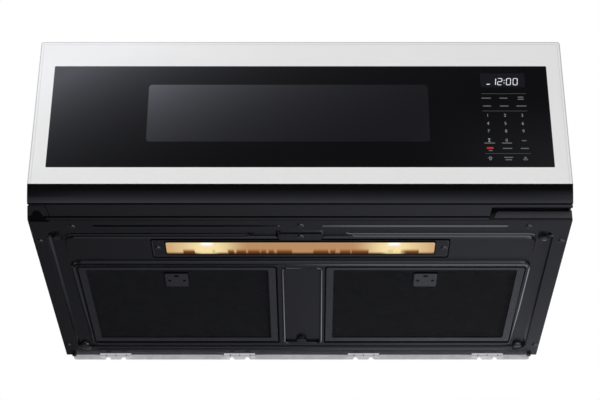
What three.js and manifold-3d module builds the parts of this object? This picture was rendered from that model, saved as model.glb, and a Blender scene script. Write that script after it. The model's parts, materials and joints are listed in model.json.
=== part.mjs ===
// Slim microwave that hangs on the wall over a range, with a hood on its underside.
// Millimetres. While it is modelled: x runs to the right, y runs back from the face of the
// door glass, z runs up from the lowest face of the base plate. The last lines move the origin
// to the middle of the footprint, at the lowest edge of the wall plate.
import * as THREE from 'three';
import { mergeVertices } from 'three/addons/utils/BufferGeometryUtils.js';
import Module from 'manifold-3d';

const wasm = await Module();
wasm.setup();

// ================================================================ sizes

// Overall
const width = 759;
const depth = 466;
const height = 285;

// Clearances
const seat_gap = 0.3;
const run_gap = 0.8;
const door_gap = 2;
const shaft_play = 0.2;

// Sheets and walls
const base_sheet = 1.2;
const case_sheet = 1;
const liner_sheet = 0.8;
const frame_sheet = 1.2;
const wall_sheet = 1.2;
const moulded_wall = 3;
const glass_thickness = 4;

// Spaces round the cooking cavity
const left_bay = 89.5;
const right_bay = 139.5;
const rear_bay = 94.5;
const top_bay = 42;
const hood_height = 62;
const cavity_corner = 6;
const case_drop = 2;
const wall_gap = 2.8;

// Door
const door_thickness = 44;
const hinge_inset = 11;
const hinge_pin_radius = 2.5;
const hinge_boss_height = 12;
const glass_lift = 42;
const glass_corner = 4;
const frame_inset = 1;
const top_air_slot = 7;
const panel_sheet = 2;
const seal_rise = 1.7;
const seal_side = 30;
const seal_edge = 22;
const seal_corner = 12;
const screen_sheet = 0.8;
const screen_margin = 10;
const inner_glass_thickness = 2;
const inner_glass_margin = 12;
const panel_window_margin = 8;
const frame_window_margin = 4;

// Gloss slope under the glass
const slope_reach = 12.4;
const slope_foot = 18.2;
const slope_bow = 1.5;
const trim_depth = 16.4;
const trim_wall = 2.4;

// Satin lip under the slope, and the fixed cover in line with it at the hinge
const lip_top = 17.1;
const lip_front = 15.8;
const lip_reach = 27.3;
const lip_wall = 3.8;
const lip_edge = 0.6;
const cover_slot_edge = 1.5;
const cover_slot_top = 10.5;
const cover_slot_foot = 17.5;
const cover_slot_left = 2.5;
const cover_slot_right = 4.5;

// Window, seen from the front
const window_left_margin = 72;
const window_right_margin = 56.5;
const window_lift = 69.8;
const window_drop = 75.9;
const window_corner = 5;

// Finger notch in the lip, at the right, and the pocket behind it
const notch_width = 117.5;
const notch_slant = 5;
const notch_top = 14.5;
const pocket_depth = 16.5;
const pocket_height = 14.5;

// Door latch: two hooks on a sprung carriage, and the holder that they enter
const latch_inset = 29.5;
const latch_above_floor = 48;
const latch_below_top = 24;
const latch_width = 8;
const latch_height = 8;
const latch_reach = 16;
const latch_lift = 4;
const hook_barb = 2;
const hook_nose = 7;
const carriage_depth = 12;
const carriage_end = 12;
const slot_play = 2;
const spring_length = 26;
const spring_radius = 4;
const spring_wire = 0.5;
const spring_turns = 7;
const holder_left = 17;
const holder_right = 23;
const holder_end = 24;
const holder_wall = 2;
const holder_back_wall = 3;
const holder_depth = 12.5;
const holder_seat = 4;
const switch_width = 22;
const switch_depth = 9;
const switch_height = 16;
const switch_offset = 14;

// Controls behind the glass
const controls_inset = 10;
const board_width = 84;
const board_sheet = 1.6;
const touch_lift = 28;
const touch_drop = 8;
const display_drop = 49;
const display_board_width = 72;
const display_board_height = 38;
const display_rim_x = 4;
const display_rim_z = 5;
const display_body = 9;
const relay_width = 24;
const relay_height = 30;
const relay_depth = 6;
const transformer_width = 22;
const transformer_height = 36;
const transformer_depth = 9;
const board_edge = 12;

// Turntable
const tray_margin = 1;
const tray_rim = 14;
const tray_glass = 4;
const tray_lip = 3;
const track_inset = 47;
const wheel_radius = 6.5;
const wheel_width = 7;
const wheel_chamfer = 1;
const wheel_pin = 2;
const ring_width = 10.7;
const ring_thickness = 4;
const coupler_radius = 22;
const coupler_arm = 8;
const coupler_step = 4;
const motor_shaft = 3;
const motor_shaft_room = 5;
const shaft_short = 3;
const turn_motor_radius = 24.5;
const turn_motor_height = 18;

// Microwave feed, at the right of the cavity
const port_length = 60;
const port_height = 60;
const port_offset = 17.5;
const port_drop = 40;
const mica_sheet = 0.5;
const mica_overlap = 8;
const guide_depth = 40;
const guide_wall = 1.5;
const guide_flange = 6;
const antenna_hole = 10;
const antenna_radius = 7;
const antenna_reach = 16;
const magnetron_plate = 2;
const magnetron_side = 40;
const magnetron_half_height = 36;
const magnetron_yoke = 60;
const magnetron_yoke_half = 30;
const magnetron_core = 20.5;
const fin_count = 6;
const fin_first = 12;
const fin_pitch = 7;
const fin_sheet = 1;
const fin_half_height = 28;
const filter_box_depth = 20;
const filter_box_half = 24;
const filter_box_half_height = 22;

// Cavity lamp
const lamp_port_front = 47.5;
const lamp_port_drop = 28;
const lamp_port_radius = 9;
const lamp_flange_half = 14;
const lamp_flange = 3;
const socket_radius = 10;
const socket_length = 26;
const bulb_radius = 7;

// Inverter board in the electrics bay
const inverter_clear = 12;
const inverter_side_gap = 8;
const inverter_width = 110;
const inverter_length = 130;
const inverter_sheet = 2;
const inverter_edge = 12;
const coil_side = 50;
const coil_height = 42;
const coil_edge = 15;
const sink_width = 34;
const sink_length = 60;
const sink_height = 30;
const choke_width = 28;
const choke_length = 40;
const choke_height = 26;

// Cooling fan at the rear of the bay
const fan_inset = 69.5;
const fan_lift = 68.8;
const fan_setback = 50;
const fan_depth = 24;
const fan_radius = 42;
const fan_rim = 6;
const fan_tip_gap = 1.5;
const fan_pin = 2;
const fan_hub = 15;
const fan_spoke = 6;
const fan_mount = 6;
const fan_post = 3;
const fan_blades = 7;
const fan_chord = 18;
const fan_blade_sheet = 1.6;
const fan_pitch_angle = Math.PI / 4.5;

// Base plate, all seen from below
const nose_setback = 28.9;
const nose_height = 16.2;
const recess_rise = 5;
const recess_inset = 21;
const recess_from_nose = 27.8;
const recess_from_rear = 17;
const recess_corner = 20;
const island_level = 2;
const island_corner = 12;
const lamp_island_inset = 24;
const lamp_island_before = 8.3;
const lamp_island_behind = 10.1;
const filter_island_inset = 25.5;
const filter_island_before = 12.4;
const filter_island_behind = 15;
const press_slope = 2.5;
const bead_slope = 1;
const bead_half = 2.6;
const bead_rise = 1.8;
const bead_from_nose = 17.4;
const bead_inner = 28.8;
const bead_outer_inset = 87.5;
const step_from_recess = 21.2;
const step_inner = 70;
const step_outer_inset = 27.5;
const hook_length = 9;
const dimple_radius = 7;
const dimple_inset = 12.4;
const dimple_front = 27;
const dimple_back = 13;
const dimple_level = 0.4;
const dimple_slope = 1.5;
const panel_margin = 8;
const panel_before = 2.6;
const panel_behind = 9;
const panel_corner = 10;
const boss_radius = 8;
const boss_from_rear = 50.3;
const boss_slope = 0.8;
const foot_width = 6;
const foot_inset = 9.5;
const foot_length = 8;
const foot_drop = 3;
const pin_way_left = 6;
const pin_way_right = 14;

// Hood lamps, behind one lens
const lens_from_recess = 35.6;
const lens_depth = 35.6;
const lens_half = 192.5;
const lens_thickness = 2;
const lens_rim = 0.8;
const lens_flange = 4;
const lens_flange_front = 1.8;
const lens_hole_side = 8;
const lens_hole_front = 2.3;
const lens_hole_back = 6.3;
const cover_sheet = 1.2;
const cover_side = 19.5;
const cover_before = 5.5;
const cover_behind = 8.1;
const cover_tab_half = 30;
const cover_tab_length = 18;
const cover_corner = 3;
const lamp_inset = 58.5;
const lamp_back = 2;
const lamp_radius = 7;
const lamp_length = 26;
const lamp_base = 11;
const lamp_base_lip = 2;
const reflector_height = 38;
const reflector_wall = 1;
const reflector_side = 8;
const reflector_front = 1;
const reflector_back = 3.6;
const reflector_flange_side = 8;
const reflector_flange_front = 4;
const reflector_flange_back = 5;

// Grease filters
const filter_from_lens = 41.5;
const filter_from_rear = 45;
const left_filter_inset = 53;
const right_filter_inset = 50.5;
const left_filter_inner = 37;
const right_filter_inner = 38;
const filter_thickness = 8;
const filter_low = 1;
const filter_lip = 2;
const filter_corner = 3;
const filter_rim_side = 10.5;
const filter_rim_front = 7;
const filter_rim_back = 15;
const filter_groove = 4;
const mesh_tuck = 3.4;
const mesh_thickness = 2.5;
const tab_width = 34;
const tab_length = 39.5;
const tab_from_edge = 20.6;
const tab_from_inner = 147;
const tab_sheet = 1;
const tab_hole = 2.2;
const tab_hole_x = 11.5;
const tab_hole_y = 21;
const tab_slot_half = 3.4;
const tab_slot_width = 3.6;
const tab_slot_from_front = 4.4;

// Hood blower
const blower_from_rear = 46;
const blower_drop = 76;
const blower_wheel_radius = 34;
const blower_wheel_length = 96;
const wheel_disc = 2;
const wheel_hub = 9;
const wheel_hub_length = 14;
const blade_depth = 8;
const blade_count = 20;
const blade_sheet = 1.4;
const blade_angle = 0.6;
const blower_motor_half = 46;
const blower_motor_radius = 34;
const blower_shaft_radius = 4;
const shaft_end = 2;
const scroll_wall = 2;
const scroll_length = 112;
const scroll_tongue = 6;
const scroll_gap = 3;
const scroll_throat = 6.8;
const scroll_drop = 8;
const scroll_steps = 14;

// Hinge brackets
const bracket_sheet = 2.4;
const bracket_left = 8;
const bracket_right = 24;
const lower_bracket_z = 8;
const upper_bracket_reach = 30;
const pin_foot = 3;
const pin_reach = 9;

// Top of the case
const vent_left = 10;
const vent_right = 40;
const vent_setback = 6;
const vent_depth = 40;
const vent_corner = 3;
const vent_slats = 26;
const vent_end = 10;
const vent_rim = 6;
const grille_sheet = 2.5;
const charcoal_side = 8;
const charcoal_rim = 4;
const charcoal_thickness = 15;
const exhaust_half = 127;
const exhaust_depth = 83;
const exhaust_from_rear = 7;
const exhaust_margin = 6;
const exhaust_corner = 4;
const gland_inset = 69.5;
const gland_from_rear = 62;
const gland_radius = 11;
const gland_bore = 5;
const gland_flange = 3;
const gland_flange_sheet = 1.2;
const gland_depth = 6;
const cabinet_bolt_inset = 59.5;
const cabinet_bolt_setback = 64;
const cabinet_bolt_radius = 4;

// Wall plate
const lip_drop = 7;
const plate_inset = 11.5;
const plate_drop = 35;
const plate_corner = 4;
const plate_window_side = 38;
const plate_window_half = 100;
const plate_window_rib = 30;
const plate_window_low = 60;
const plate_window_top = 40;
const plate_window_corner = 12;
const plate_hole = 4;
const plate_hole_side = 28;
const plate_hole_low = 36;
const plate_hole_top = 20;
const plate_tab_width = 50;
const plate_tab_inner = 100;
const plate_tab_outer = 79.5;
const plate_tab_reach = 6;
const plate_rib_low = 20;
const plate_rib_height = 10;
const scallop_radius = 4;
const scallop_spread = 12.4;

// Corner facets
const fine = 28;
const coarse = 12;
const corner_steps = 3;
const tray_facets = 44;
const over = 1;

// ================================================================ places

const side = width / 2;
const hinge_x = -side + hinge_inset;
const hinge_y = door_thickness - hinge_inset;
const chassis_front = door_thickness + door_gap;
const panel_front = door_thickness - seal_rise - panel_sheet;
const panel_back = panel_front + panel_sheet;
const frame_back = panel_front - seat_gap;
const frame_front = glass_thickness + seat_gap;
const frame_inside = frame_front + moulded_wall + seat_gap;
const frame_side = side - frame_inset;
const frame_top = height - top_air_slot;
const frame_foot = lip_top + seat_gap;
const frame_low_front = trim_depth + seat_gap;
const panel_low = frame_foot + moulded_wall;
const case_top = height - case_drop;
const inside_top = case_top - case_sheet;
const rear_face = depth - wall_sheet - wall_gap;
const rear_inside = rear_face - case_sheet - seat_gap;
const case_low = base_sheet + seat_gap;

const cavity_left = -side + left_bay;
const cavity_right = side - right_bay;
const cavity_low = hood_height;
const cavity_high = inside_top - top_bay;
const cavity_front = chassis_front + frame_sheet + seat_gap;
const cavity_back = rear_face - rear_bay;
const turn_x = (cavity_left + cavity_right) / 2;
const turn_y = (cavity_front + cavity_back) / 2;
const tray_radius = (cavity_back - cavity_front) / 2 - tray_margin;
const wheel_track = tray_radius - track_inset;
const bay_floor_top = cavity_low - liner_sheet;

const window_left = cavity_left + window_left_margin;
const window_right = cavity_right - window_right_margin;
const window_low = glass_lift + window_lift;
const window_high = height - window_drop;
const notch_left = side - notch_width;

const latch_x = side - latch_inset;
const latch_low = cavity_low + latch_above_floor;
const latch_high = cavity_high - latch_below_top;
const carriage_low = latch_low - carriage_end;
const carriage_high = latch_high + carriage_end;
const carriage_front = frame_back - carriage_depth;
const spring_top = carriage_high + spring_length;
const holder_x0 = latch_x - holder_left;
const holder_x1 = latch_x + holder_right;
const holder_low = latch_low - holder_end;
const holder_high = latch_high + holder_end;
const holder_back = cavity_front + latch_reach + holder_depth;

const controls_left = cavity_right + controls_inset;
const display_high = height - display_drop;
const display_low = display_high - display_board_height;
const touch_low = glass_lift + touch_lift;
const touch_high = display_low - touch_drop;

const guide_face = cavity_right + liner_sheet + seat_gap;
const guide_out = guide_face + guide_depth;
const port_front = turn_y - port_offset;
const port_back = port_front + port_length;
const port_y = (port_front + port_back) / 2;
const port_high = cavity_high - port_drop;
const port_low = port_high - port_height;
const lamp_port_y = cavity_front + lamp_port_front;
const lamp_port_z = cavity_high - lamp_port_drop;
const fan_x = side - fan_inset;
const fan_z = bay_floor_top + fan_lift;
const fan_front = rear_face - fan_setback;
const fan_back = fan_front + fan_depth;

const recess_side = side - recess_inset;
const recess_front = nose_setback + recess_from_nose;
const recess_back = rear_face - recess_from_rear;
const lens_front = recess_front + lens_from_recess;
const lens_back = lens_front + lens_depth;
const lamp_x = lens_half - lamp_inset;
const lamp_y = (lens_front + lens_back) / 2 + lamp_back;
const cover_half = lens_half + cover_side;
const cover_front = lens_front - cover_before;
const cover_back = lens_back + cover_behind;
const filter_front = lens_back + filter_from_lens;
const filter_back = rear_face - filter_from_rear;
const filter_length = filter_back - filter_front;
const filter_spans = [
  [-side + left_filter_inset, -left_filter_inner],
  [right_filter_inner, side - right_filter_inset],
];

const blower_y = rear_face - blower_from_rear;
const blower_z = inside_top - blower_drop;
const blower_span = blower_motor_half + seat_gap + scroll_length / 2;

const vent_from = cavity_left - vent_left;
const vent_to = cavity_right - vent_right;
const vent_front = chassis_front + vent_setback;
const vent_back = vent_front + vent_depth;
const exhaust_back = rear_face - exhaust_from_rear;
const exhaust_front = exhaust_back - exhaust_depth;
const gland_x = side - gland_inset;
const gland_y = rear_face - gland_from_rear;
const bolt_x = side - cabinet_bolt_inset;
const bolt_y = chassis_front + cabinet_bolt_setback;

const plate_side = side - plate_inset;
const plate_top = height - plate_drop;
const plate_tabs = [plate_tab_inner, side - plate_tab_outer].flatMap((x) => [-x, x]);

// ================================================================ solids

function solid(geometry) {
  const plain = geometry.index ? geometry.toNonIndexed() : geometry;
  plain.deleteAttribute('normal');
  plain.deleteAttribute('uv');
  const merged = mergeVertices(plain, 1e-4);
  const corners = [];
  for (let i = 0; i < merged.index.count; i += 3) {
    const [a, b, c] = [0, 1, 2].map((k) => merged.index.getX(i + k));
    if (a !== b && b !== c && c !== a) corners.push(a, b, c);
  }
  return new wasm.Manifold(new wasm.Mesh({
    numProp: 3,
    vertProperties: new Float32Array(merged.attributes.position.array),
    triVerts: new Uint32Array(corners),
  }));
}

function box(x0, x1, y0, y1, z0, z1) {
  const geometry = new THREE.BoxGeometry(x1 - x0, y1 - y0, z1 - z0);
  geometry.translate((x0 + x1) / 2, (y0 + y1) / 2, (z0 + z1) / 2);
  return solid(geometry);
}

// Rectangle with round corners, from one corner to the other
function rectangle(u0, u1, v0, v1, radius = 0) {
  const r = Math.min(radius, (u1 - u0) / 2 - 0.01, (v1 - v0) / 2 - 0.01);
  const shape = new THREE.Shape();
  if (r <= 0) {
    shape.moveTo(u0, v0).lineTo(u1, v0).lineTo(u1, v1).lineTo(u0, v1);
    return shape;
  }
  shape.moveTo(u0 + r, v0).lineTo(u1 - r, v0).absarc(u1 - r, v0 + r, r, -Math.PI / 2, 0);
  shape.lineTo(u1, v1 - r).absarc(u1 - r, v1 - r, r, 0, Math.PI / 2);
  shape.lineTo(u0 + r, v1).absarc(u0 + r, v1 - r, r, Math.PI / 2, Math.PI);
  shape.lineTo(u0, v0 + r).absarc(u0 + r, v0 + r, r, Math.PI, 1.5 * Math.PI);
  return shape;
}

function outline(points) {
  return new THREE.Shape(points.map(([u, v]) => new THREE.Vector2(u, v)));
}

function extrude(shape, length) {
  return new THREE.ExtrudeGeometry(shape, {
    depth: length, bevelEnabled: false, curveSegments: corner_steps,
  });
}

// Prism of an x, y outline between two heights
function prismZ(shape, z0, z1) {
  return solid(extrude(shape, z1 - z0).translate(0, 0, z0));
}

// Prism of an x, z outline between two depths
function prismY(shape, y0, y1) {
  return solid(extrude(shape, y1 - y0).rotateX(Math.PI / 2).translate(0, y1, 0));
}

// Prism of a y, z outline between two side positions
function prismX(shape, x0, x1) {
  const turn = new THREE.Matrix4().makeBasis(
    new THREE.Vector3(0, 1, 0), new THREE.Vector3(0, 0, 1), new THREE.Vector3(1, 0, 0));
  return solid(extrude(shape, x1 - x0).applyMatrix4(turn).translate(x0, 0, 0));
}

function cylinder(radius, length, facets) {
  return new THREE.CylinderGeometry(radius, radius, length, facets);
}

function pillar(x, y, radius, z0, z1, facets = coarse) {
  const geometry = cylinder(radius, z1 - z0, facets).rotateX(Math.PI / 2);
  return solid(geometry.translate(x, y, (z0 + z1) / 2));
}

function barX(y, z, radius, x0, x1, facets = coarse) {
  const geometry = cylinder(radius, x1 - x0, facets).rotateZ(Math.PI / 2);
  return solid(geometry.translate((x0 + x1) / 2, y, z));
}

function barY(x, z, radius, y0, y1, facets = coarse) {
  return solid(cylinder(radius, y1 - y0, facets).translate(x, (y0 + y1) / 2, z));
}

// Revolved round +z at x, y; the profile is a list of [radius, height]
function revolve(profile, facets = fine, x = 0, y = 0) {
  const points = profile.map(([r, z]) => new THREE.Vector2(r, z));
  points.push(points[0].clone());
  return solid(new THREE.LatheGeometry(points, facets).rotateX(Math.PI / 2).translate(x, y, 0));
}

// Points round a rectangle with round corners, the same number whatever its size
function ring(rect, z) {
  const { x0, x1, y0, y1 } = rect;
  const r = Math.max(0.2, Math.min(rect.r, (x1 - x0) / 2 - 0.01, (y1 - y0) / 2 - 0.01));
  const centres = [[x1 - r, y1 - r], [x0 + r, y1 - r], [x0 + r, y0 + r], [x1 - r, y0 + r]];
  const points = [];
  centres.forEach(([cx, cy], quarter) => {
    for (let k = 0; k <= corner_steps; k += 1) {
      const angle = (quarter + k / corner_steps) * Math.PI / 2;
      points.push([cx + r * Math.cos(angle), cy + r * Math.sin(angle), z]);
    }
  });
  return points;
}

// Block whose outline changes from one rounded rectangle to another, as a pressing's does
function loft(low, z0, high, z1) {
  const rings = [ring(low, z0), ring(high, z1)];
  const count = rings[0].length;
  const triangles = [];
  for (let k = 0; k < count; k += 1) {
    const n = (k + 1) % count;
    triangles.push([k, n, count + n], [k, count + n, count + k]);
    if (k > 0 && k < count - 1) triangles.push([0, n, k], [count, count + k, count + n]);
  }
  const geometry = new THREE.BufferGeometry();
  geometry.setAttribute('position', new THREE.Float32BufferAttribute(rings.flat(2), 3));
  geometry.setIndex(triangles.flat());
  return solid(geometry);
}

function rect(x0, x1, y0, y1, r) {
  return { x0, x1, y0, y1, r };
}

function grow(area, by) {
  const { x0, x1, y0, y1, r } = area;
  return rect(x0 - by, x1 + by, y0 - by, y1 + by, Math.max(r + by, 0.2));
}

// Press an area of a sheet up from one level by a rise, with sloping walls
function pressUp(sheet, area, level, rise, slope, thickness) {
  return sheet.add(raised(area, level, rise, slope, thickness))
    .subtract(hollowUnder(area, level, rise, slope));
}

// The same pressing as two bodies, for a form that joins a neighbour
function raised(area, level, rise, slope, thickness) {
  return loft(grow(area, thickness), level, grow(area, thickness - slope), level + rise + thickness);
}

function hollowUnder(area, level, rise, slope) {
  return loft(area, level, grow(area, -slope), level + rise)
    .add(loft(area, level - over, area, level));
}

// Press an area of a raised sheet back down to a level
function pressDown(sheet, area, level, top, slope, thickness) {
  const outer = loft(area, level, grow(area, slope), top + thickness);
  const inner = loft(grow(area, -thickness), level + thickness,
    grow(area, slope - thickness), top + thickness);
  const mouth = loft(grow(area, slope - thickness), top + thickness,
    grow(area, slope - thickness), top + thickness + over);
  // The hole in the sheet ends inside the new wall, so that the two join through solid metal
  const within = -thickness / 2;
  const hole = loft(grow(area, slope + within), top - over,
    grow(area, slope + within), top + thickness + over);
  return sheet.subtract(hole).add(outer.subtract(inner).subtract(mouth));
}

// ================================================================ scene

function finish(color, roughness, metalness) {
  return new THREE.MeshStandardMaterial({ color, roughness, metalness });
}

const finishes = {
  white_glass: finish(0xf2f2f2, 0.08, 0),
  gloss_black: finish(0x0c0c0d, 0.12, 0),
  satin_black: finish(0x1d1e20, 0.45, 0.3),
  black_steel: finish(0x1b1c1f, 0.5, 0.6),
  black_plastic: finish(0x151516, 0.6, 0),
  grey_plastic: finish(0x8b8d8f, 0.6, 0),
  galvanised: finish(0xb4b6b8, 0.45, 0.9),
  steel: finish(0xc4c6c8, 0.3, 1),
  enamel: finish(0x8c8e90, 0.35, 0.1),
  aluminium: finish(0xbfc1c3, 0.4, 0.9),
  mica: finish(0xb9b19a, 0.7, 0),
  board: finish(0x1f5a35, 0.55, 0),
  clear_glass: finish(0xdfe8e6, 0.05, 0),
  frosted_lens: finish(0xffdf9e, 0.4, 0),
  warm_lamp: finish(0xfff0c0, 0.3, 0),
  charcoal: finish(0x242424, 0.95, 0),
};

const microwave = new THREE.Group();

function group(parent, x = 0, y = 0, z = 0) {
  const made = new THREE.Group();
  made.position.set(x, y, z);
  parent.add(made);
  return made;
}

// A cut along a shared wall can leave slivers with no volume, which are left out
function withoutSlivers(body) {
  const pieces = body.decompose().filter((piece) => piece.volume() > 1e-3);
  return pieces.reduce((whole, piece) => whole.add(piece));
}

function add(parent, name, body, material) {
  const { vertProperties, triVerts } = withoutSlivers(body).getMesh();
  const geometry = new THREE.BufferGeometry();
  geometry.setAttribute('position', new THREE.BufferAttribute(new Float32Array(vertProperties), 3));
  geometry.setIndex(new THREE.BufferAttribute(new Uint32Array(triVerts), 1));
  geometry.computeVertexNormals();
  const mesh = new THREE.Mesh(geometry, material);
  mesh.name = name;
  parent.add(mesh);
  return mesh;
}

// ================================================================ door

// The rear left corner is round about the hinge axis, so that it clears the case as it swings
function roundHingeCorner(body) {
  const block = box(-side - over, hinge_x, hinge_y, door_thickness + over, -over, height + over);
  const round = pillar(hinge_x, hinge_y, hinge_inset, -2 * over, height + 2 * over, fine);
  return body.subtract(block.subtract(round));
}

function frontGlass() {
  const sheet = rectangle(-side, side, glass_lift, height, glass_corner);
  const square_foot = rectangle(-side, side, glass_lift, glass_lift + 2 * glass_corner);
  return prismY(sheet, 0, glass_thickness).add(prismY(square_foot, 0, glass_thickness));
}

function windowOpening(margin) {
  return rectangle(window_left - margin, window_right + margin,
    window_low - margin, window_high + margin, window_corner + margin);
}

function doorFrame() {
  const wall = moulded_wall;
  const upper = box(-frame_side, frame_side, frame_front, frame_back, glass_lift, frame_top);
  const lower = box(-frame_side, frame_side, frame_low_front, frame_back,
    frame_foot, glass_lift + wall);
  const upper_hollow = box(-frame_side + wall, frame_side - wall,
    frame_front + wall, frame_back + over, glass_lift + wall, frame_top - wall);
  const lower_hollow = box(-frame_side + wall, frame_side - wall,
    frame_low_front + wall, frame_back + over, frame_foot + wall, glass_lift + 2 * wall);
  const pocket_front = frame_low_front + wall;
  const pocket_back = pocket_front + pocket_depth;
  const pocket_top = frame_foot + pocket_height;
  const pocket_block = box(notch_left - wall, frame_side - wall / 2, pocket_front - wall / 2,
    pocket_back + wall, frame_foot, pocket_top + wall);
  const pocket = box(notch_left, frame_side - wall, pocket_front,
    pocket_back, frame_foot - over, pocket_top);
  const spring_seat = box(latch_x - latch_width, latch_x + latch_width,
    frame_front + wall / 2, frame_back, spring_top + seat_gap, spring_top + seat_gap + wall);
  let body = upper.add(lower).subtract(upper_hollow).subtract(lower_hollow);
  body = body.add(pocket_block).subtract(pocket).add(spring_seat);
  body = body.subtract(prismY(windowOpening(frame_window_margin),
    frame_front - over, frame_front + wall + over));
  // A boss round each pin, bored to turn on it
  const bosses = [[frame_foot, frame_foot + hinge_boss_height], [frame_top - hinge_boss_height, frame_top]];
  bosses.forEach(([z0, z1]) => {
    body = body.add(pillar(hinge_x, hinge_y, frame_back - hinge_y, z0, z1));
    body = body.subtract(pillar(hinge_x, hinge_y, hinge_pin_radius + seat_gap, z0 - over, z1 + over));
  });
  return roundHingeCorner(body);
}

// Gloss slope under the glass: a channel whose front bows out slightly
function doorBottomTrim() {
  const top = glass_lift - seat_gap;
  const slope = new THREE.Shape();
  slope.moveTo(0, top);
  slope.quadraticCurveTo(slope_reach / 2 - slope_bow / 2, (top + slope_foot) / 2 - slope_bow,
    slope_reach, slope_foot);
  slope.lineTo(trim_depth, slope_foot).lineTo(trim_depth, top);
  const wall = trim_wall;
  const hollow = outline([
    [wall * 2, top - wall], [slope_reach + wall / 2, slope_foot + wall],
    [trim_depth + over, slope_foot + wall], [trim_depth + over, top - wall],
  ]);
  return prismX(slope, -side, side).subtract(prismX(hollow, -side + wall, side - wall));
}

// Section of the satin lip: a sloping strip with a seat on top
function lipSection(top) {
  const front = lip_front + (lip_top - top) * (lip_reach - lip_front) / lip_top;
  const back = lip_reach + lip_edge;
  return outline([
    [front, top], [lip_reach, 0], [back, 0], [back, lip_wall - lip_edge],
    [lip_front + lip_wall, top - lip_wall / 2], [lip_front + lip_wall, top],
  ]);
}

// Radius about the hinge axis that the fixed corner cover keeps inside, and the lip outside
const corner_reach = Math.hypot(hinge_inset, hinge_y - lip_front) + seat_gap;

function doorLip() {
  let body = prismX(lipSection(lip_top), hinge_x, side);
  body = body.subtract(pillar(hinge_x, hinge_y, corner_reach + run_gap, -over, lip_top + over, fine));
  const notch = outline([
    [notch_left, -over], [side + over, -over], [side + over, notch_top],
    [notch_left + notch_slant, notch_top],
  ]);
  return body.subtract(prismY(notch, 0, nose_setback));
}

// Fixed cover at the left end, in line with the lip, with the slot that shows the hinge pin
function hingeCover() {
  const top = lip_top - run_gap;
  let body = prismX(lipSection(top), -side, hinge_x + corner_reach);
  body = body.intersect(pillar(hinge_x, hinge_y, corner_reach, -over, lip_top + over, fine));
  const slot = outline([
    [-side + cover_slot_edge, -over], [hinge_x + cover_slot_foot, -over],
    [hinge_x + cover_slot_right, cover_slot_top], [hinge_x - cover_slot_left, cover_slot_top],
  ]);
  body = body.subtract(prismY(slot, 0, nose_setback));
  const foot = box(-side, hinge_x + hinge_pin_radius, lip_front + lip_wall - over,
    nose_setback - seat_gap, top - lip_wall / 2, top);
  return body.add(foot);
}

function latchSlots(margin) {
  return [latch_low, latch_high].map((z) => rectangle(
    latch_x - latch_width / 2 - margin, latch_x + latch_width / 2 + margin,
    z - latch_height / 2 - hook_barb - margin, z + latch_height / 2 + latch_lift + margin, margin));
}

// Steel inner panel, with the raised face that closes on the oven front
function doorInnerPanel() {
  let body = box(-frame_side, frame_side, panel_front, panel_back, panel_low, frame_top - seat_gap);
  const seal = rectangle(cavity_left - seal_side, cavity_right + seal_side,
    cavity_low - seal_edge, cavity_high + seal_edge, seal_corner);
  body = body.add(prismY(seal, panel_back - panel_sheet / 2, door_thickness));
  body = body.subtract(prismY(windowOpening(panel_window_margin),
    panel_front - over, door_thickness + over));
  latchSlots(slot_play).forEach((slot) => {
    body = body.subtract(prismY(slot, panel_front - over, door_thickness + over));
  });
  return roundHingeCorner(body);
}

function windowSheet(margin, y0, thickness) {
  return prismY(windowOpening(margin), y0, y0 + thickness);
}

// Carriage with two hooks that lift over a catch as the door closes
function latchHooks() {
  const half = latch_width / 2;
  const tall = latch_height / 2;
  let body = box(latch_x - half, latch_x + half, carriage_front, frame_back,
    carriage_low, carriage_high);
  [latch_low, latch_high].forEach((z) => {
    const tip = door_thickness + latch_reach;
    const hook = outline([
      [frame_back - over, z - tall], [tip - hook_nose, z - tall], [tip - hook_nose, z - tall - hook_barb],
      [tip - hook_nose + hook_barb, z - tall - hook_barb], [tip, z], [tip - tall, z + tall],
      [frame_back - over, z + tall],
    ]);
    body = body.add(prismX(hook, latch_x - half + hook_barb / 2, latch_x + half - hook_barb / 2));
  });
  return body;
}

// Coil spring over the carriage, one wire swept along its helix
function latchSpring() {
  const wire = spring_wire;
  const corners = 8;
  const steps = spring_turns * corners;
  const sides = 4;
  const bottom = carriage_high + seat_gap + wire;
  const pitch = (spring_top - wire - bottom) / steps;
  const y = frame_back - carriage_depth / 2;
  const positions = [];
  const faces = [];
  for (let i = 0; i <= steps; i += 1) {
    const angle = i * 2 * Math.PI / corners;
    for (let k = 0; k < sides; k += 1) {
      const turn = k * 2 * Math.PI / sides;
      const r = spring_radius + wire * Math.cos(turn);
      positions.push(latch_x + r * Math.cos(angle), y + r * Math.sin(angle),
        bottom + i * pitch + wire * Math.sin(turn));
      if (i < steps) {
        const [a, b] = [i * sides + k, i * sides + (k + 1) % sides];
        faces.push(a, a + sides, b + sides, a, b + sides, b);
      }
    }
  }
  for (let k = 1; k < sides - 1; k += 1) {
    faces.push(0, k, k + 1);
    faces.push(steps * sides, steps * sides + k + 1, steps * sides + k);
  }
  const geometry = new THREE.BufferGeometry();
  geometry.setAttribute('position', new THREE.Float32BufferAttribute(positions, 3));
  geometry.setIndex(faces);
  return solid(geometry);
}

// Sensor board with its relay and transformer
function touchBoard() {
  const left = controls_left;
  const right = left + board_width;
  const front = frame_inside;
  const face = front + board_sheet / 2;
  const relay = box(left + board_edge, left + board_edge + relay_width, face, front + relay_depth,
    touch_low + board_edge, touch_low + board_edge + relay_height);
  const transformer = box(right - board_edge - transformer_width, right - board_edge,
    face, front + transformer_depth, touch_high - board_edge - transformer_height,
    touch_high - board_edge);
  return box(left, right, front, front + board_sheet, touch_low, touch_high)
    .add(relay).add(transformer);
}

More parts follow.
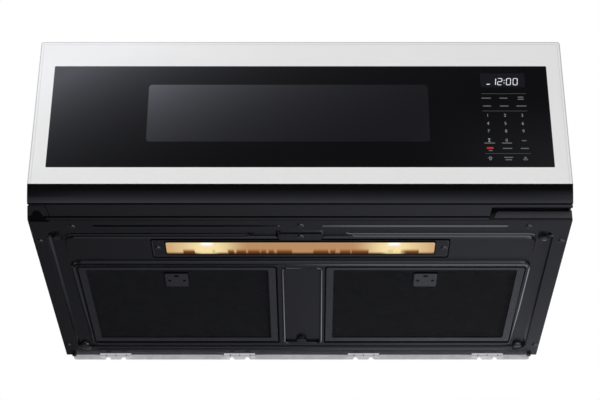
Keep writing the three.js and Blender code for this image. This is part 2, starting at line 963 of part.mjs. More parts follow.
function displayModule() {
  const left = controls_left + (board_width - display_board_width) / 2;
  const right = left + display_board_width;
  const front = frame_inside;
  const shell = box(left + display_rim_x, right - display_rim_x, front + board_sheet / 2,
    front + display_body, display_low + display_rim_z, display_high - display_rim_z);
  return box(left, right, front, front + board_sheet, display_low, display_high).add(shell);
}

function buildDoor() {
  const door = group(microwave);
  add(door, 'front_glass', frontGlass(), finishes.white_glass);
  add(door, 'door_frame', doorFrame(), finishes.black_plastic);
  add(door, 'door_bottom_trim', doorBottomTrim(), finishes.gloss_black);
  add(door, 'door_lip', doorLip(), finishes.satin_black);
  add(door, 'door_inner_panel', doorInnerPanel(), finishes.black_steel);
  add(door, 'door_screen', windowSheet(screen_margin, frame_inside, screen_sheet), finishes.black_steel);
  add(door, 'inner_window', windowSheet(inner_glass_margin, frame_back - inner_glass_thickness,
    inner_glass_thickness), finishes.clear_glass);
  add(door, 'touch_board', touchBoard(), finishes.board);
  add(door, 'display_module', displayModule(), finishes.black_plastic);
  add(door, 'latch_hooks', latchHooks(), finishes.grey_plastic);
  add(door, 'latch_spring', latchSpring(), finishes.steel);
}

buildDoor();

// ================================================================ shell

// Both sides of the middle, as spans from the left end to the right end
function mirrored(from, to) {
  return [[-to, -from], [from, to]];
}

// Pressed sheet: a rim, a recess with raised beads, two islands pressed back down for the lamps
// and the filters, and a panel and a boss between the filters
function basePlate() {
  const t = base_sheet;
  const top = recess_rise;
  let body = box(-side, side, nose_setback, rear_face, 0, t);
  body = body.add(box(-side, side, nose_setback, nose_setback + t, 0, nose_height));
  mirrored(side - foot_inset - foot_width, side - foot_inset).forEach(([x0, x1]) => {
    body = body.add(box(x0, x1, rear_face - foot_length, rear_face, -foot_drop, t));
  });
  const recess = rect(-recess_side, recess_side, recess_front, recess_back, recess_corner);
  body = pressUp(body, recess, 0, recess_rise, press_slope, t);
  const bead_y = nose_setback + bead_from_nose;
  mirrored(bead_inner, side - bead_outer_inset).forEach(([x0, x1]) => {
    const bead = rect(x0, x1, bead_y - bead_half, bead_y + bead_half, bead_half);
    body = pressUp(body, bead, 0, bead_rise, bead_slope, t);
  });
  const step_y = recess_front + step_from_recess;
  mirrored(step_inner, recess_side - step_outer_inset).forEach(([x0, x1]) => {
    const step = rect(x0, x1, step_y - bead_half, step_y + bead_half, bead_half);
    body = pressUp(body, step, recess_rise, bead_rise, bead_slope, t);
  });
  // The inner end of each step hooks forward
  [-step_inner - bead_half, step_inner + bead_half].forEach((x) => {
    const hook = rect(x - bead_half, x + bead_half, step_y + bead_half - hook_length, step_y + bead_half,
      bead_half);
    body = body.add(raised(hook, recess_rise, bead_rise, bead_slope, t))
      .subtract(hollowUnder(hook, recess_rise, bead_rise, bead_slope));
  });
  const lamp_island = rect(-recess_side + lamp_island_inset, recess_side - lamp_island_inset,
    lens_front - lamp_island_before, lens_back + lamp_island_behind, island_corner);
  body = pressDown(body, lamp_island, island_level, top, press_slope, t);
  const filter_island = rect(-recess_side + filter_island_inset, recess_side - filter_island_inset,
    filter_front - filter_island_before, filter_back + filter_island_behind, island_corner);
  body = pressDown(body, filter_island, island_level, top, press_slope, t);
  const panel = rect(-left_filter_inner + panel_margin, right_filter_inner - panel_margin,
    filter_front + panel_before, filter_back + panel_behind, panel_corner);
  body = pressUp(body, panel, island_level, top - island_level, bead_slope, t);
  const dimple_x = recess_side - dimple_inset;
  const r = dimple_radius;
  [recess_front + dimple_front, recess_back - dimple_back].forEach((y) => {
    [-dimple_x, dimple_x].forEach((x) => {
      body = pressDown(body, rect(x - r, x + r, y - r, y + r, r), dimple_level, top, dimple_slope, t);
    });
  });
  const boss_x = (right_filter_inner - left_filter_inner) / 2;
  const boss_y = rear_face - boss_from_rear;
  const boss = rect(boss_x - boss_radius, boss_x + boss_radius, boss_y - boss_radius,
    boss_y + boss_radius, boss_radius);
  body = pressDown(body, boss, dimple_level, top, boss_slope, t);
  const lamp_hole = rectangle(-lens_half - lens_hole_side, lens_half + lens_hole_side,
    lens_front - lens_hole_front, lens_back + lens_hole_back, cover_corner);
  body = body.subtract(prismZ(lamp_hole, -over, top + bead_rise + t + over));
  filter_spans.forEach(([x0, x1]) => {
    const hole = rectangle(x0 - run_gap, x1 + run_gap, filter_front - run_gap, filter_back + run_gap,
      filter_corner);
    body = body.subtract(prismZ(hole, -over, top + t + over));
  });
  // Way through the nose to the lower hinge pin
  return body.subtract(box(hinge_x - pin_way_left, hinge_x + pin_way_right, nose_setback - over,
    nose_setback + t + over, t + over, nose_height + over));
}

// Angle bracket with the pin that the door turns on; the leg is screwed to the shell
function lowerHinge() {
  const back = chassis_front - seat_gap;
  const top = lower_bracket_z + bracket_sheet;
  const left = hinge_x - bracket_left;
  const right = hinge_x + bracket_right;
  const plate = box(left, right, nose_setback + base_sheet + seat_gap, back, lower_bracket_z, top);
  const leg = box(left, right, back - bracket_sheet, back, case_low + bead_rise, top);
  const pin = pillar(hinge_x, hinge_y, hinge_pin_radius, lower_bracket_z - pin_foot,
    frame_foot + pin_reach);
  return plate.add(leg).add(pin);
}

function upperHinge() {
  const low = frame_top + run_gap;
  const plate = box(hinge_x - bracket_left, hinge_x + bracket_right, hinge_y - bracket_left,
    chassis_front + upper_bracket_reach, low, low + bracket_sheet);
  return plate.add(pillar(hinge_x, hinge_y, hinge_pin_radius, frame_top - pin_reach, low + over));
}

// Wrap of the top and sides, open to the front, the rear and below
function outerCase() {
  const t = case_sheet;
  let body = box(-side, side, chassis_front, rear_face, case_low, case_top);
  body = body.subtract(box(-side + t, side - t, chassis_front - over, rear_face + over,
    -over, inside_top));
  const vent = rectangle(vent_from, vent_to, vent_front, vent_back, vent_corner);
  const exhaust = rectangle(-exhaust_half, exhaust_half, exhaust_front, exhaust_back, vent_corner);
  const holes = [prismZ(vent, inside_top - over, case_top + over),
    prismZ(exhaust, inside_top - over, case_top + over),
    pillar(gland_x, gland_y, gland_radius, inside_top - over, case_top + over)];
  [-bolt_x, bolt_x].forEach((x) => {
    holes.push(pillar(x, bolt_y, cabinet_bolt_radius, inside_top - over, case_top + over));
  });
  holes.forEach((hole) => {
    body = body.subtract(hole);
  });
  return body;
}

function topVentGrille() {
  const plate = rectangle(vent_from + seat_gap, vent_to - seat_gap,
    vent_front + seat_gap, vent_back - seat_gap, vent_corner);
  let body = prismZ(plate, case_top - grille_sheet, case_top);
  const pitch = (vent_to - vent_from - 2 * vent_end) / vent_slats;
  for (let k = 0; k < vent_slats; k += 1) {
    const x = vent_from + vent_end + (k + 1 / 4) * pitch;
    body = body.subtract(box(x, x + pitch / 2, vent_front + vent_rim, vent_back - vent_rim,
      case_top - grille_sheet - over, case_top + over));
  }
  return body;
}

function charcoalFilter() {
  const top = case_top - grille_sheet - seat_gap;
  return box(vent_from + charcoal_side, vent_to - charcoal_side, vent_front + charcoal_rim,
    vent_back - charcoal_rim, top - charcoal_thickness, top);
}

function exhaustCover() {
  const m = exhaust_margin;
  const low = case_top + seat_gap;
  return prismZ(rectangle(-exhaust_half - m, exhaust_half + m, exhaust_front - m,
    exhaust_back + m - over, exhaust_corner), low, low + case_sheet);
}

// Bush that the mains lead would pass, with a flange over the top of the case
function cordGland() {
  const low = inside_top - gland_depth;
  const flange = case_top + seat_gap;
  const neck = gland_radius - seat_gap;
  const rim = gland_radius + gland_flange;
  const top = flange + gland_flange_sheet;
  return revolve([
    [gland_bore, low], [neck, low], [neck, flange], [rim, flange], [rim, top], [gland_bore, top],
  ], coarse, gland_x, gland_y);
}

function rearPanel() {
  const edge = side - case_sheet - seat_gap;
  return box(-edge, edge, rear_face - case_sheet, rear_face, case_low, inside_top - seat_gap);
}

// Painted front with the cavity opening, and the window where the latch holder shows
function frontFrame() {
  const edge = side - case_sheet - seat_gap;
  let body = box(-edge, edge, chassis_front, chassis_front + frame_sheet, case_low + bead_rise,
    inside_top - seat_gap);
  const mouth = rectangle(cavity_left, cavity_right, cavity_low, cavity_high, cavity_corner);
  const latch_window = rectangle(holder_x0 + holder_seat, holder_x1 - holder_seat,
    holder_low + holder_seat, holder_high - holder_seat, filter_corner);
  [mouth, latch_window].forEach((opening) => {
    body = body.subtract(prismY(opening, chassis_front - over, cavity_front + over));
  });
  return body.subtract(box(hinge_x - bracket_left - run_gap, hinge_x + bracket_right + run_gap,
    chassis_front - over, cavity_front + over, frame_top, inside_top + over));
}

// Floor under the electrics bay, beside the cavity
function bayFloor() {
  return box(guide_face, side - case_sheet - seat_gap, cavity_front, rear_inside,
    bay_floor_top - frame_sheet, bay_floor_top);
}

// Galvanised plate on the wall; its four tabs carry the case by its rear edge
function mountingPlate() {
  const front = depth - wall_sheet;
  const sheet = rectangle(-plate_side, plate_side, -lip_drop, plate_top, plate_corner);
  let body = prismY(sheet, front, depth);
  const outer = plate_side - plate_window_side;
  const inner = plate_window_half + plate_window_rib;
  [[-outer, -inner], [-plate_window_half, plate_window_half], [inner, outer]].forEach(([x0, x1]) => {
    const opening = rectangle(x0, x1, plate_window_low, plate_top - plate_window_top, plate_window_corner);
    body = body.subtract(prismY(opening, front - over, depth + over));
  });
  const rib_x = plate_window_half + plate_window_rib / 2;
  [-plate_side + plate_hole_side, -rib_x, rib_x, plate_side - plate_hole_side].forEach((x) => {
    [plate_hole_low, plate_top - plate_hole_top].forEach((z) => {
      body = body.subtract(barY(x, z, plate_hole, front - over, depth + over));
    });
  });
  // Each tab carries the case from below, with a rib above it that the rear panel lies on,
  // and two half round notches in the edge under it
  plate_tabs.forEach((x) => {
    const half = plate_tab_width / 2;
    body = body.add(box(x - half, x + half, rear_face - plate_tab_reach, front + wall_sheet / 2,
      -seat_gap - wall_sheet, -seat_gap));
    body = body.add(box(x - half, x + half, rear_face + seat_gap, front + wall_sheet / 2,
      plate_rib_low, plate_rib_low + plate_rib_height));
    [-scallop_spread, scallop_spread].forEach((shift) => {
      body = body.subtract(barY(x + shift, -lip_drop, scallop_radius, front - over, depth + over));
    });
  });
  return body;
}

// ================================================================ cavity and electrics

function cavityLiner() {
  const t = liner_sheet;
  const wall_out = cavity_right + 2 * t;
  let body = box(cavity_left - t, cavity_right + t, cavity_front, cavity_back + t,
    cavity_low - t, cavity_high + t);
  body = body.subtract(box(cavity_left, cavity_right, cavity_front - over, cavity_back,
    cavity_low, cavity_high));
  body = body.subtract(pillar(turn_x, turn_y, motor_shaft + motor_shaft_room,
    cavity_low - 2 * t, cavity_low + over));
  body = body.subtract(box(cavity_right - over, wall_out, port_front, port_back, port_low, port_high));
  return body.subtract(barX(lamp_port_y, lamp_port_z, lamp_port_radius, cavity_right - over, wall_out));
}

function waveguideCover() {
  const m = mica_overlap;
  return box(cavity_right - seat_gap - mica_sheet, cavity_right - seat_gap,
    port_front - m, port_back + m, port_low - m, port_high + m);
}

// Duct from the antenna down to the port, open on the cavity side
function waveguide() {
  const wall = guide_wall;
  const front = port_front - guide_flange;
  const back = port_back + guide_flange;
  const low = port_low - guide_flange;
  const high = cavity_high;
  const duct = box(guide_face, guide_out, front, back, low, high);
  const inside = box(guide_face - over, guide_out - wall, front + wall, back - wall,
    low + wall, high - wall);
  const hole = barX(port_y, port_high, antenna_hole, guide_out - 2 * wall, guide_out + over);
  return duct.subtract(inside).subtract(hole);
}

// Yoke, cooling fins, core, antenna and filter box
function magnetron() {
  const face = guide_out + seat_gap;
  const plate = magnetron_plate;
  const s = magnetron_side;
  const end = face + magnetron_yoke;
  const z0 = port_high - magnetron_yoke_half;
  const z1 = port_high + magnetron_yoke_half;
  let body = box(face, face + plate, port_y - s, port_y + s, port_high - magnetron_half_height,
    port_high + magnetron_half_height);
  body = body.add(box(face + plate / 2, end, port_y - s, port_y - s + plate, z0, z1));
  body = body.add(box(face + plate / 2, end, port_y + s - plate, port_y + s, z0, z1));
  for (let k = 0; k < fin_count; k += 1) {
    const x = face + fin_first + k * fin_pitch;
    body = body.add(box(x, x + fin_sheet, port_y - s + plate / 2, port_y + s - plate / 2,
      port_high - fin_half_height, port_high + fin_half_height));
  }
  body = body.add(barX(port_y, port_high, magnetron_core, face + plate / 2, end + plate / 2));
  body = body.add(barX(port_y, port_high, antenna_radius, face - antenna_reach, face + plate));
  return body.add(box(end - plate, end + filter_box_depth - plate, port_y - filter_box_half,
    port_y + filter_box_half, port_high - filter_box_half_height, port_high + filter_box_half_height));
}

// Board with its transformer, heat sink and choke
function inverterBoard() {
  const low = bay_floor_top + seat_gap;
  const face = low + inverter_sheet / 2;
  const x0 = guide_face + inverter_side_gap;
  const x1 = x0 + inverter_width;
  const y1 = fan_front - inverter_clear;
  const y0 = y1 - inverter_length;
  const left = x0 + inverter_edge;
  const coil_y = y0 + coil_edge;
  const choke_y = y1 - inverter_edge;
  const sink_x = x1 - inverter_edge / 2;
  const coil = box(left, left + coil_side, coil_y, coil_y + coil_side, face, low + coil_height);
  const sink = box(sink_x - sink_width, sink_x, y0 + inverter_edge, y0 + inverter_edge + sink_length,
    face, low + sink_height);
  const choke = box(left, left + choke_width, choke_y - choke_length, choke_y, face, low + choke_height);
  return box(x0, x1, y0, y1, low, low + inverter_sheet).add(coil).add(sink).add(choke);
}

function cavityLamp() {
  const h = lamp_flange_half;
  const face = guide_face + lamp_flange;
  const flange = box(guide_face, face, lamp_port_y - h, lamp_port_y + h, lamp_port_z - h, lamp_port_z + h);
  return flange
    .add(barX(lamp_port_y, lamp_port_z, socket_radius, face - over, guide_face + socket_length))
    .add(barX(lamp_port_y, lamp_port_z, bulb_radius, cavity_right - over, guide_face + over));
}

// Moulded holder behind the latch window, open at its right side; the hooks pass its front wall
function interlockBracket() {
  const wall = holder_wall;
  let body = box(holder_x0, holder_x1, cavity_front, holder_back, holder_low, holder_high);
  body = body.subtract(box(holder_x0 + wall, holder_x1 + over, cavity_front + wall,
    holder_back - holder_back_wall, holder_low + wall, holder_high - wall));
  latchSlots(slot_play).forEach((slot) => {
    body = body.subtract(prismY(slot, cavity_front - over, cavity_front + wall + over));
  });
  return body;
}

function doorSwitch(z) {
  const back = holder_back - holder_back_wall - seat_gap;
  const left = latch_x - latch_width;
  return box(left, left + switch_width, back - switch_depth, back, z, z + switch_height);
}

// Square frame with a hub on one spoke, standing off the rear panel on four posts
function coolingFanFrame() {
  const half = fan_radius + fan_rim;
  const spoke = fan_spoke / 2;
  const square = rectangle(fan_x - half, fan_x + half, fan_z - half, fan_z + half, fan_rim);
  let body = prismY(square, fan_front, fan_back);
  body = body.subtract(barY(fan_x, fan_z, fan_radius + fan_tip_gap,
    fan_front - over, fan_back + over, fine));
  body = body.add(box(fan_x - half + over, fan_x + half - over, fan_back - 2 * fan_pin, fan_back,
    fan_z - spoke, fan_z + spoke));
  body = body.add(barY(fan_x, fan_z, fan_hub, fan_back - fan_mount, fan_back));
  body = body.add(barY(fan_x, fan_z, fan_pin, fan_front + 2 * fan_pin, fan_back - fan_pin));
  const post = half - fan_post - over;
  [-post, post].forEach((x) => [-post, post].forEach((z) => {
    body = body.add(barY(fan_x + x, fan_z + z, fan_post, fan_back - over, rear_inside));
  }));
  return body;
}

// Blades set at an angle round the hub
function coolingFan() {
  const front = fan_front + fan_pin;
  const back = fan_back - fan_mount - seat_gap;
  const reach = fan_radius - fan_hub + fan_post;
  let body = barY(0, 0, fan_hub, front, back);
  for (let k = 0; k < fan_blades; k += 1) {
    const blade = new THREE.BoxGeometry(fan_blade_sheet, fan_chord, reach);
    blade.rotateZ(fan_pitch_angle).translate(0, (front + back) / 2, fan_radius - reach / 2);
    body = body.add(solid(blade.rotateY(k * 2 * Math.PI / fan_blades)));
  }
  return body.subtract(barY(0, 0, fan_pin + 2 * shaft_play, front - over, back + over));
}

// ================================================================ turntable

const wheel_z = cavity_low + seat_gap + wheel_radius;
const tray_bottom = wheel_z + wheel_radius + seat_gap;
const shaft_top = tray_bottom - shaft_short;

function turntableMotor() {
  const top = bay_floor_top - seat_gap;
  return revolve([
    [0, top - turn_motor_height], [turn_motor_radius, top - turn_motor_height],
    [turn_motor_radius, top], [motor_shaft, top], [motor_shaft, shaft_top], [0, shaft_top],
  ], coarse);
}

// Three-armed driver on the motor shaft
function turntableCoupler() {
  const low = cavity_low + run_gap;
  const top = tray_bottom - seat_gap;
  const foot = low + coupler_step;
  let body = pillar(0, 0, coupler_radius / 2, low, top);
  for (let k = 0; k < 3; k += 1) {
    const arm = new THREE.BoxGeometry(coupler_radius, coupler_arm, top - foot);
    arm.translate(coupler_radius / 2, 0, (top + foot) / 2).rotateZ(k * 2 * Math.PI / 3);
    body = body.add(solid(arm));
  }
  return body.subtract(pillar(0, 0, motor_shaft + shaft_play, low - over, shaft_top + seat_gap));
}

function glassTray() {
  const b = tray_bottom;
  const r = tray_radius;
  const flat = r - tray_rim;
  const rim = b + tray_rim;
  return revolve([
    [0, b], [flat, b], [r, rim - tray_lip], [r, rim], [r - tray_lip, rim],
    [flat - tray_lip / 2, b + tray_glass], [0, b + tray_glass],
  ], tray_facets);
}

// Ring with three stub axles
function rollerRing() {
  const outer = wheel_track - wheel_width / 2 - run_gap;
  const inner = outer - ring_width;
  const half = ring_thickness / 2;
  let body = revolve([
    [inner, wheel_z - half], [outer, wheel_z - half], [outer, wheel_z + half], [inner, wheel_z + half],
  ], fine);
  for (let k = 0; k < 3; k += 1) {
    const length = wheel_width + 2 * half - over;
    const pin = cylinder(wheel_pin, length, coarse).rotateZ(Math.PI / 2);
    pin.translate(outer - half + length / 2, 0, wheel_z).rotateZ(k * 2 * Math.PI / 3);
    body = body.add(solid(pin));
  }
  return body;
}

function rollerWheel() {
  const half = wheel_width / 2;
  const bore = wheel_pin + shaft_play;
  const c = wheel_chamfer;
  return revolve([
    [bore, -half], [wheel_radius - c, -half], [wheel_radius, c - half],
    [wheel_radius, half - c], [wheel_radius - c, half], [bore, half],
  ], coarse);
}

// ================================================================ hood

// Cover plate with a tab at its front, and the opening for the lens
function lampCover() {
  const top = island_level - seat_gap;
  const low = top - cover_sheet;
  const plate = rectangle(-cover_half, cover_half, cover_front, cover_back, cover_corner);
  const tab = rectangle(-cover_tab_half, cover_tab_half, cover_front - cover_tab_length,
    cover_front + cover_corner + over, cover_corner);
  const opening = rectangle(-lens_half, lens_half, lens_front, lens_back, cover_corner);
  return prismZ(plate, low, top).add(prismZ(tab, low, top))
    .subtract(prismZ(opening, low - over, top + over));
}

// Lens that stands in the cover's opening, with a flange on the base plate
function lampLens() {
  const cover_top = island_level - seat_gap;
  const plate = rectangle(-lens_half + seat_gap, lens_half - seat_gap,
    lens_front + seat_gap, lens_back - seat_gap, cover_corner);
  const flange = rectangle(-lens_half - lens_flange, lens_half + lens_flange,
    lens_front - lens_flange_front, lens_back + lens_flange, cover_corner);
  return prismZ(plate, cover_top - lens_rim, cover_top + lens_thickness)
    .add(prismZ(flange, island_level, island_level + base_sheet));
}

// Bright tray over the lens, open below, with a flange on the base plate
function lampReflector() {
  const low = island_level + base_sheet + seat_gap;
  const top = low + reflector_height;
  const wall = reflector_wall;
  const half = lens_half + reflector_side;
  const front = lens_front - reflector_front;
  const back = lens_back + reflector_back;
  const flange = rectangle(-half - reflector_flange_side, half + reflector_flange_side,
    front - reflector_flange_front, back + reflector_flange_back, cover_corner);
  const inside = box(-half + wall, half - wall, front + wall, back - wall, low - over, top - wall);
  return box(-half, half, front, back, low, top).add(prismZ(flange, low, low + wall)).subtract(inside);
}

// Lamp with its socket, hanging from the tray
function hoodLamp() {
  const top = island_level + base_sheet + reflector_height - reflector_wall;
  const r = lamp_radius;
  const base = top - lamp_base;
  const tip = top - lamp_length;
  return revolve([
    [0, tip], [r * 0.7, tip + r / 4], [r, tip + r], [r, base - r / 2], [r * 0.7, base],
    [r + lamp_base_lip, base], [r + lamp_base_lip, top], [0, top],
  ], coarse);
}

// Pressed channel all round, with a groove inside that holds the mesh
function filterFrame(width_x) {
  const top = filter_low + filter_thickness;
  const outer = prismZ(rectangle(0, width_x, 0, filter_length, filter_corner), filter_low, top);
  const side_in = filter_rim_side;
  const opening = rectangle(side_in, width_x - side_in, filter_rim_front,
    filter_length - filter_rim_back, cover_corner);
  const g = filter_groove;
  const groove = rectangle(side_in - g, width_x - side_in + g, filter_rim_front - g,
    filter_length - filter_rim_back + g, cover_corner);
  const groove_low = filter_low + filter_lip;
  return outer.subtract(prismZ(opening, filter_low - over, top + over))
    .subtract(prismZ(groove, groove_low, groove_low + mesh_thickness + 2 * seat_gap));
}

function filterMesh(width_x) {
  const low = filter_low + filter_lip + seat_gap;
  const t = mesh_tuck;
  return prismZ(rectangle(filter_rim_side - t, width_x - filter_rim_side + t, filter_rim_front - t,
    filter_length - filter_rim_back + t, cover_corner), low, low + mesh_thickness);
}

// Pull tab riveted on the mesh: a plate with two holes and a slot at its front edge
function filterTab() {
  const top = filter_low + filter_lip;
  const half = tab_width / 2;
  const low = top - tab_sheet;
  let body = prismZ(rectangle(-half, half, 0, tab_length, filter_corner), low, top);
  [-tab_hole_x, tab_hole_x].forEach((x) => {
    body = body.subtract(pillar(x, tab_hole_y, tab_hole, low - over, top + over));
  });
  const slot_end = tab_slot_from_front + tab_slot_width;
  const slot = rectangle(-tab_slot_half, tab_slot_half, tab_slot_from_front, slot_end, tab_slot_width / 4);
  return body.subtract(prismZ(slot, low - over, top + over));
}

function blowerMotor() {
  const half = blower_motor_half;
  return barX(0, 0, blower_motor_radius, -half, half, fine)
    .subtract(barX(0, 0, blower_shaft_radius + shaft_play, -half - over, half + over));
}

function blowerShaft() {
  const reach = blower_motor_half + scroll_length - shaft_end;
  return barX(0, 0, blower_shaft_radius, -reach, reach);
}

// Squirrel-cage wheel: a backing disc with a hub, a row of blades and an end ring
function blowerWheel() {
  const end = blower_wheel_length / 2;
  const r = blower_wheel_radius;
  const inner = r - blade_depth;
  const rim = barX(0, 0, r, end - wheel_disc, end, fine)
    .subtract(barX(0, 0, inner, end - wheel_disc - over, end + over));
  let body = barX(0, 0, r, -end, wheel_disc - end, fine).add(rim);
  body = body.add(barX(0, 0, wheel_hub, -end, wheel_hub_length - end));
  for (let k = 0; k < blade_count; k += 1) {
    const blade = new THREE.BoxGeometry(2 * end - wheel_disc, blade_depth - over, blade_sheet);
    blade.rotateX(blade_angle).translate(0, (r + inner) / 2, 0).rotateX(k * 2 * Math.PI / blade_count);
    body = body.add(solid(blade));
  }
  return body.subtract(barX(0, 0, blower_shaft_radius + shaft_play, -end - over, end + over));
}

// Scroll: a spiral wall round the wheel that opens upwards, with an air inlet in each end
function scrollShape(by) {
  const shape = new THREE.Shape();
  const rear = rear_inside - blower_y - by;
  const mouth = inside_top - scroll_drop - blower_z + (by > 0 ? over : 0);
  const near = blower_wheel_radius + scroll_gap - by;
  const throat = by - scroll_throat;
  shape.moveTo(rear, mouth);
  shape.lineTo(rear, 0);
  for (let k = 1; k <= scroll_steps; k += 1) {
    const share = k / scroll_steps;
    const angle = -share * Math.PI * 1.25;
    const r = rear - (rear - near) * share / 2;
    shape.lineTo(r * Math.cos(angle), r * Math.sin(angle));
  }
  shape.lineTo(throat, blower_wheel_radius + scroll_tongue + by / 2);
  shape.lineTo(throat, mouth);
  return shape;
}

function blowerHousing() {
  const t = scroll_wall;
  const half = scroll_length / 2;
  return prismX(scrollShape(0), -half, half)
    .subtract(prismX(scrollShape(t), -half + t, half - t))
    .subtract(barX(0, 0, blower_wheel_radius - blade_depth, -half - over, half + over, fine));
}

// ================================================================ assembly

function buildShell() {
  const shell = group(microwave);
  add(shell, 'base_plate', basePlate(), finishes.black_steel);
  add(shell, 'hinge_cover', hingeCover(), finishes.satin_black);
  add(shell, 'lower_hinge', lowerHinge(), finishes.steel);
  add(shell, 'upper_hinge', upperHinge(), finishes.steel);
  add(shell, 'outer_case', outerCase(), finishes.black_steel);
  add(shell, 'rear_panel', rearPanel(), finishes.galvanised);
  add(shell, 'front_frame', frontFrame(), finishes.black_steel);
  add(shell, 'bay_floor', bayFloor(), finishes.galvanised);
  add(shell, 'top_vent_grille', topVentGrille(), finishes.black_plastic);
  add(shell, 'charcoal_filter', charcoalFilter(), finishes.charcoal);
  add(shell, 'exhaust_cover', exhaustCover(), finishes.galvanised);
  add(shell, 'cord_gland', cordGland(), finishes.black_plastic);
  add(shell, 'mounting_plate', mountingPlate(), finishes.galvanised);
}

function buildOven() {
  const oven = group(microwave);
  add(oven, 'cavity_liner', cavityLiner(), finishes.enamel);
  add(oven, 'waveguide_cover', waveguideCover(), finishes.mica);
  add(oven, 'waveguide', waveguide(), finishes.aluminium);
  add(oven, 'magnetron', magnetron(), finishes.steel);
  add(oven, 'inverter_board', inverterBoard(), finishes.board);
  add(oven, 'cavity_lamp', cavityLamp(), finishes.black_plastic);
  add(oven, 'interlock_bracket', interlockBracket(), finishes.grey_plastic);
  add(oven, 'lower_door_switch', doorSwitch(latch_low + switch_offset), finishes.black_plastic);
  add(oven, 'upper_door_switch', doorSwitch(latch_high - switch_offset - switch_height),
    finishes.black_plastic);
  add(oven, 'cooling_fan_frame', coolingFanFrame(), finishes.black_plastic);
  add(oven, 'cooling_fan', coolingFan(), finishes.grey_plastic).position.set(fan_x, 0, fan_z);

  const turntable = group(oven, turn_x, turn_y, 0);
  add(turntable, 'turntable_motor', turntableMotor(), finishes.steel);
  add(turntable, 'turntable_coupler', turntableCoupler(), finishes.grey_plastic);
  add(turntable, 'glass_tray', glassTray(), finishes.clear_glass);
  add(turntable, 'roller_ring', rollerRing(), finishes.grey_plastic);
  for (let k = 0; k < 3; k += 1) {
    const arm = group(turntable);
    arm.rotation.z = k * 2 * Math.PI / 3;
    const wheel = add(arm, `roller_wheel_${k + 1}`, rollerWheel(), finishes.grey_plastic);
    wheel.position.set(wheel_track, 0, wheel_z);
    wheel.rotation.y = Math.PI / 2;
  }
}

function buildFilter(hood, hand, [x0, x1]) {
  const filter = group(hood, x0, filter_front, 0);
  add(filter, `${hand}_filter_frame`, filterFrame(x1 - x0), finishes.black_steel);
  add(filter, `${hand}_filter_mesh`, filterMesh(x1 - x0), finishes.black_steel);
  const tab = add(filter, `${hand}_filter_tab`, filterTab(), finishes.black_steel);
  const across = hand === 'left' ? x1 - x0 - tab_from_inner : tab_from_inner;
  tab.position.set(across, tab_from_edge, 0);
}

function buildHood() {
  const hood = group(microwave);
  add(hood, 'lamp_cover', lampCover(), finishes.black_steel);
  add(hood, 'lamp_lens', lampLens(), finishes.frosted_lens);
  add(hood, 'lamp_reflector', lampReflector(), finishes.aluminium);
  [['left_lamp', -lamp_x], ['right_lamp', lamp_x]].forEach(([name, x]) => {
    add(hood, name, hoodLamp(), finishes.warm_lamp).position.set(x, lamp_y, 0);
  });
  buildFilter(hood, 'left', filter_spans[0]);
  buildFilter(hood, 'right', filter_spans[1]);

  const blower = group(hood, 0, blower_y, blower_z);
  add(blower, 'blower_motor', blowerMotor(), finishes.steel);
  add(blower, 'blower_shaft', blowerShaft(), finishes.steel);
  add(blower, 'left_blower_housing', blowerHousing(), finishes.black_plastic).position.x = -blower_span;
  add(blower, 'right_blower_housing', blowerHousing(), finishes.black_plastic).position.x = blower_span;
  const left_wheel = add(blower, 'left_blower_wheel', blowerWheel(), finishes.grey_plastic);
  left_wheel.position.x = -blower_span;
  left_wheel.rotation.z = Math.PI;
  add(blower, 'right_blower_wheel', blowerWheel(), finishes.grey_plastic).position.x = blower_span;
}

buildShell();
buildOven();
buildHood();

microwave.position.set(0, -depth / 2, lip_drop);

export default microwave;
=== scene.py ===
"""Looks of a slim over the range microwave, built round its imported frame.

Metres. x to the right seen from the front, y back to the wall, z up. The frame's origin is the
middle of the footprint at the lowest edge of the wall plate. Places on the appliance are in
millimetres: x from the middle, y back from the glass, z up from the base plate.
"""
import json
import math

import bmesh
import bpy
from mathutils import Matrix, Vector
from mathutils.bvhtree import BVHTree


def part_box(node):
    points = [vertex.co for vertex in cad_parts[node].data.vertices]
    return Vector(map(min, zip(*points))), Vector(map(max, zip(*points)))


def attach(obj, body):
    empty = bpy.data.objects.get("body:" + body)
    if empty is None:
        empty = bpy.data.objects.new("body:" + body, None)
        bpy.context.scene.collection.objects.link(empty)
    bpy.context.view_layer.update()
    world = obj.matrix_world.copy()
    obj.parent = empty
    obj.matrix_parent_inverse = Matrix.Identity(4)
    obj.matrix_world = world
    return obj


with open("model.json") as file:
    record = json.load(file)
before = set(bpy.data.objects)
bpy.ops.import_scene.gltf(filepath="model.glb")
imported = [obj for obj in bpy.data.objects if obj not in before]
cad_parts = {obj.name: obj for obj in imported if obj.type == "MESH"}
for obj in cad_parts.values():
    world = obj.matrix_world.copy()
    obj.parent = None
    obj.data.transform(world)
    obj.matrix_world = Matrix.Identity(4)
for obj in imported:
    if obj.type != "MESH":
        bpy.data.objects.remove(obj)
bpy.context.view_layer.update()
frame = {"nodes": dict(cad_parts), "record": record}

MM = 0.001
CHASSIS = "chassis"
DOOR = "door"
DOWN = (0, 0, -1)
UP = (0, 0, 1)


def corners(node_name):
    """Lowest and highest corner of a frame node, in metres."""
    low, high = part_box(node_name)
    return Vector(low), Vector(high)


# The dimples of the base plate reach this far below its zero level
DIMPLE_DROP = 3
FACE_Y = corners("front_glass")[0].y
FLOOR_Z = corners("base_plate")[0].z + DIMPLE_DROP * MM


def at(x, y, z):
    """Point from appliance millimetres."""
    return Vector((x * MM, FACE_Y + y * MM, FLOOR_Z + z * MM))


def millimetres(node_name):
    """A node's box in appliance millimetres: x0, x1, y0, y1, z0, z1."""
    low, high = [(corner - at(0, 0, 0)) / MM for corner in corners(node_name)]
    return low.x, high.x, low.y, high.y, low.z, high.z


def add_object(name, data):
    made = bpy.data.objects.new(name, data)
    bpy.context.collection.objects.link(made)
    return made


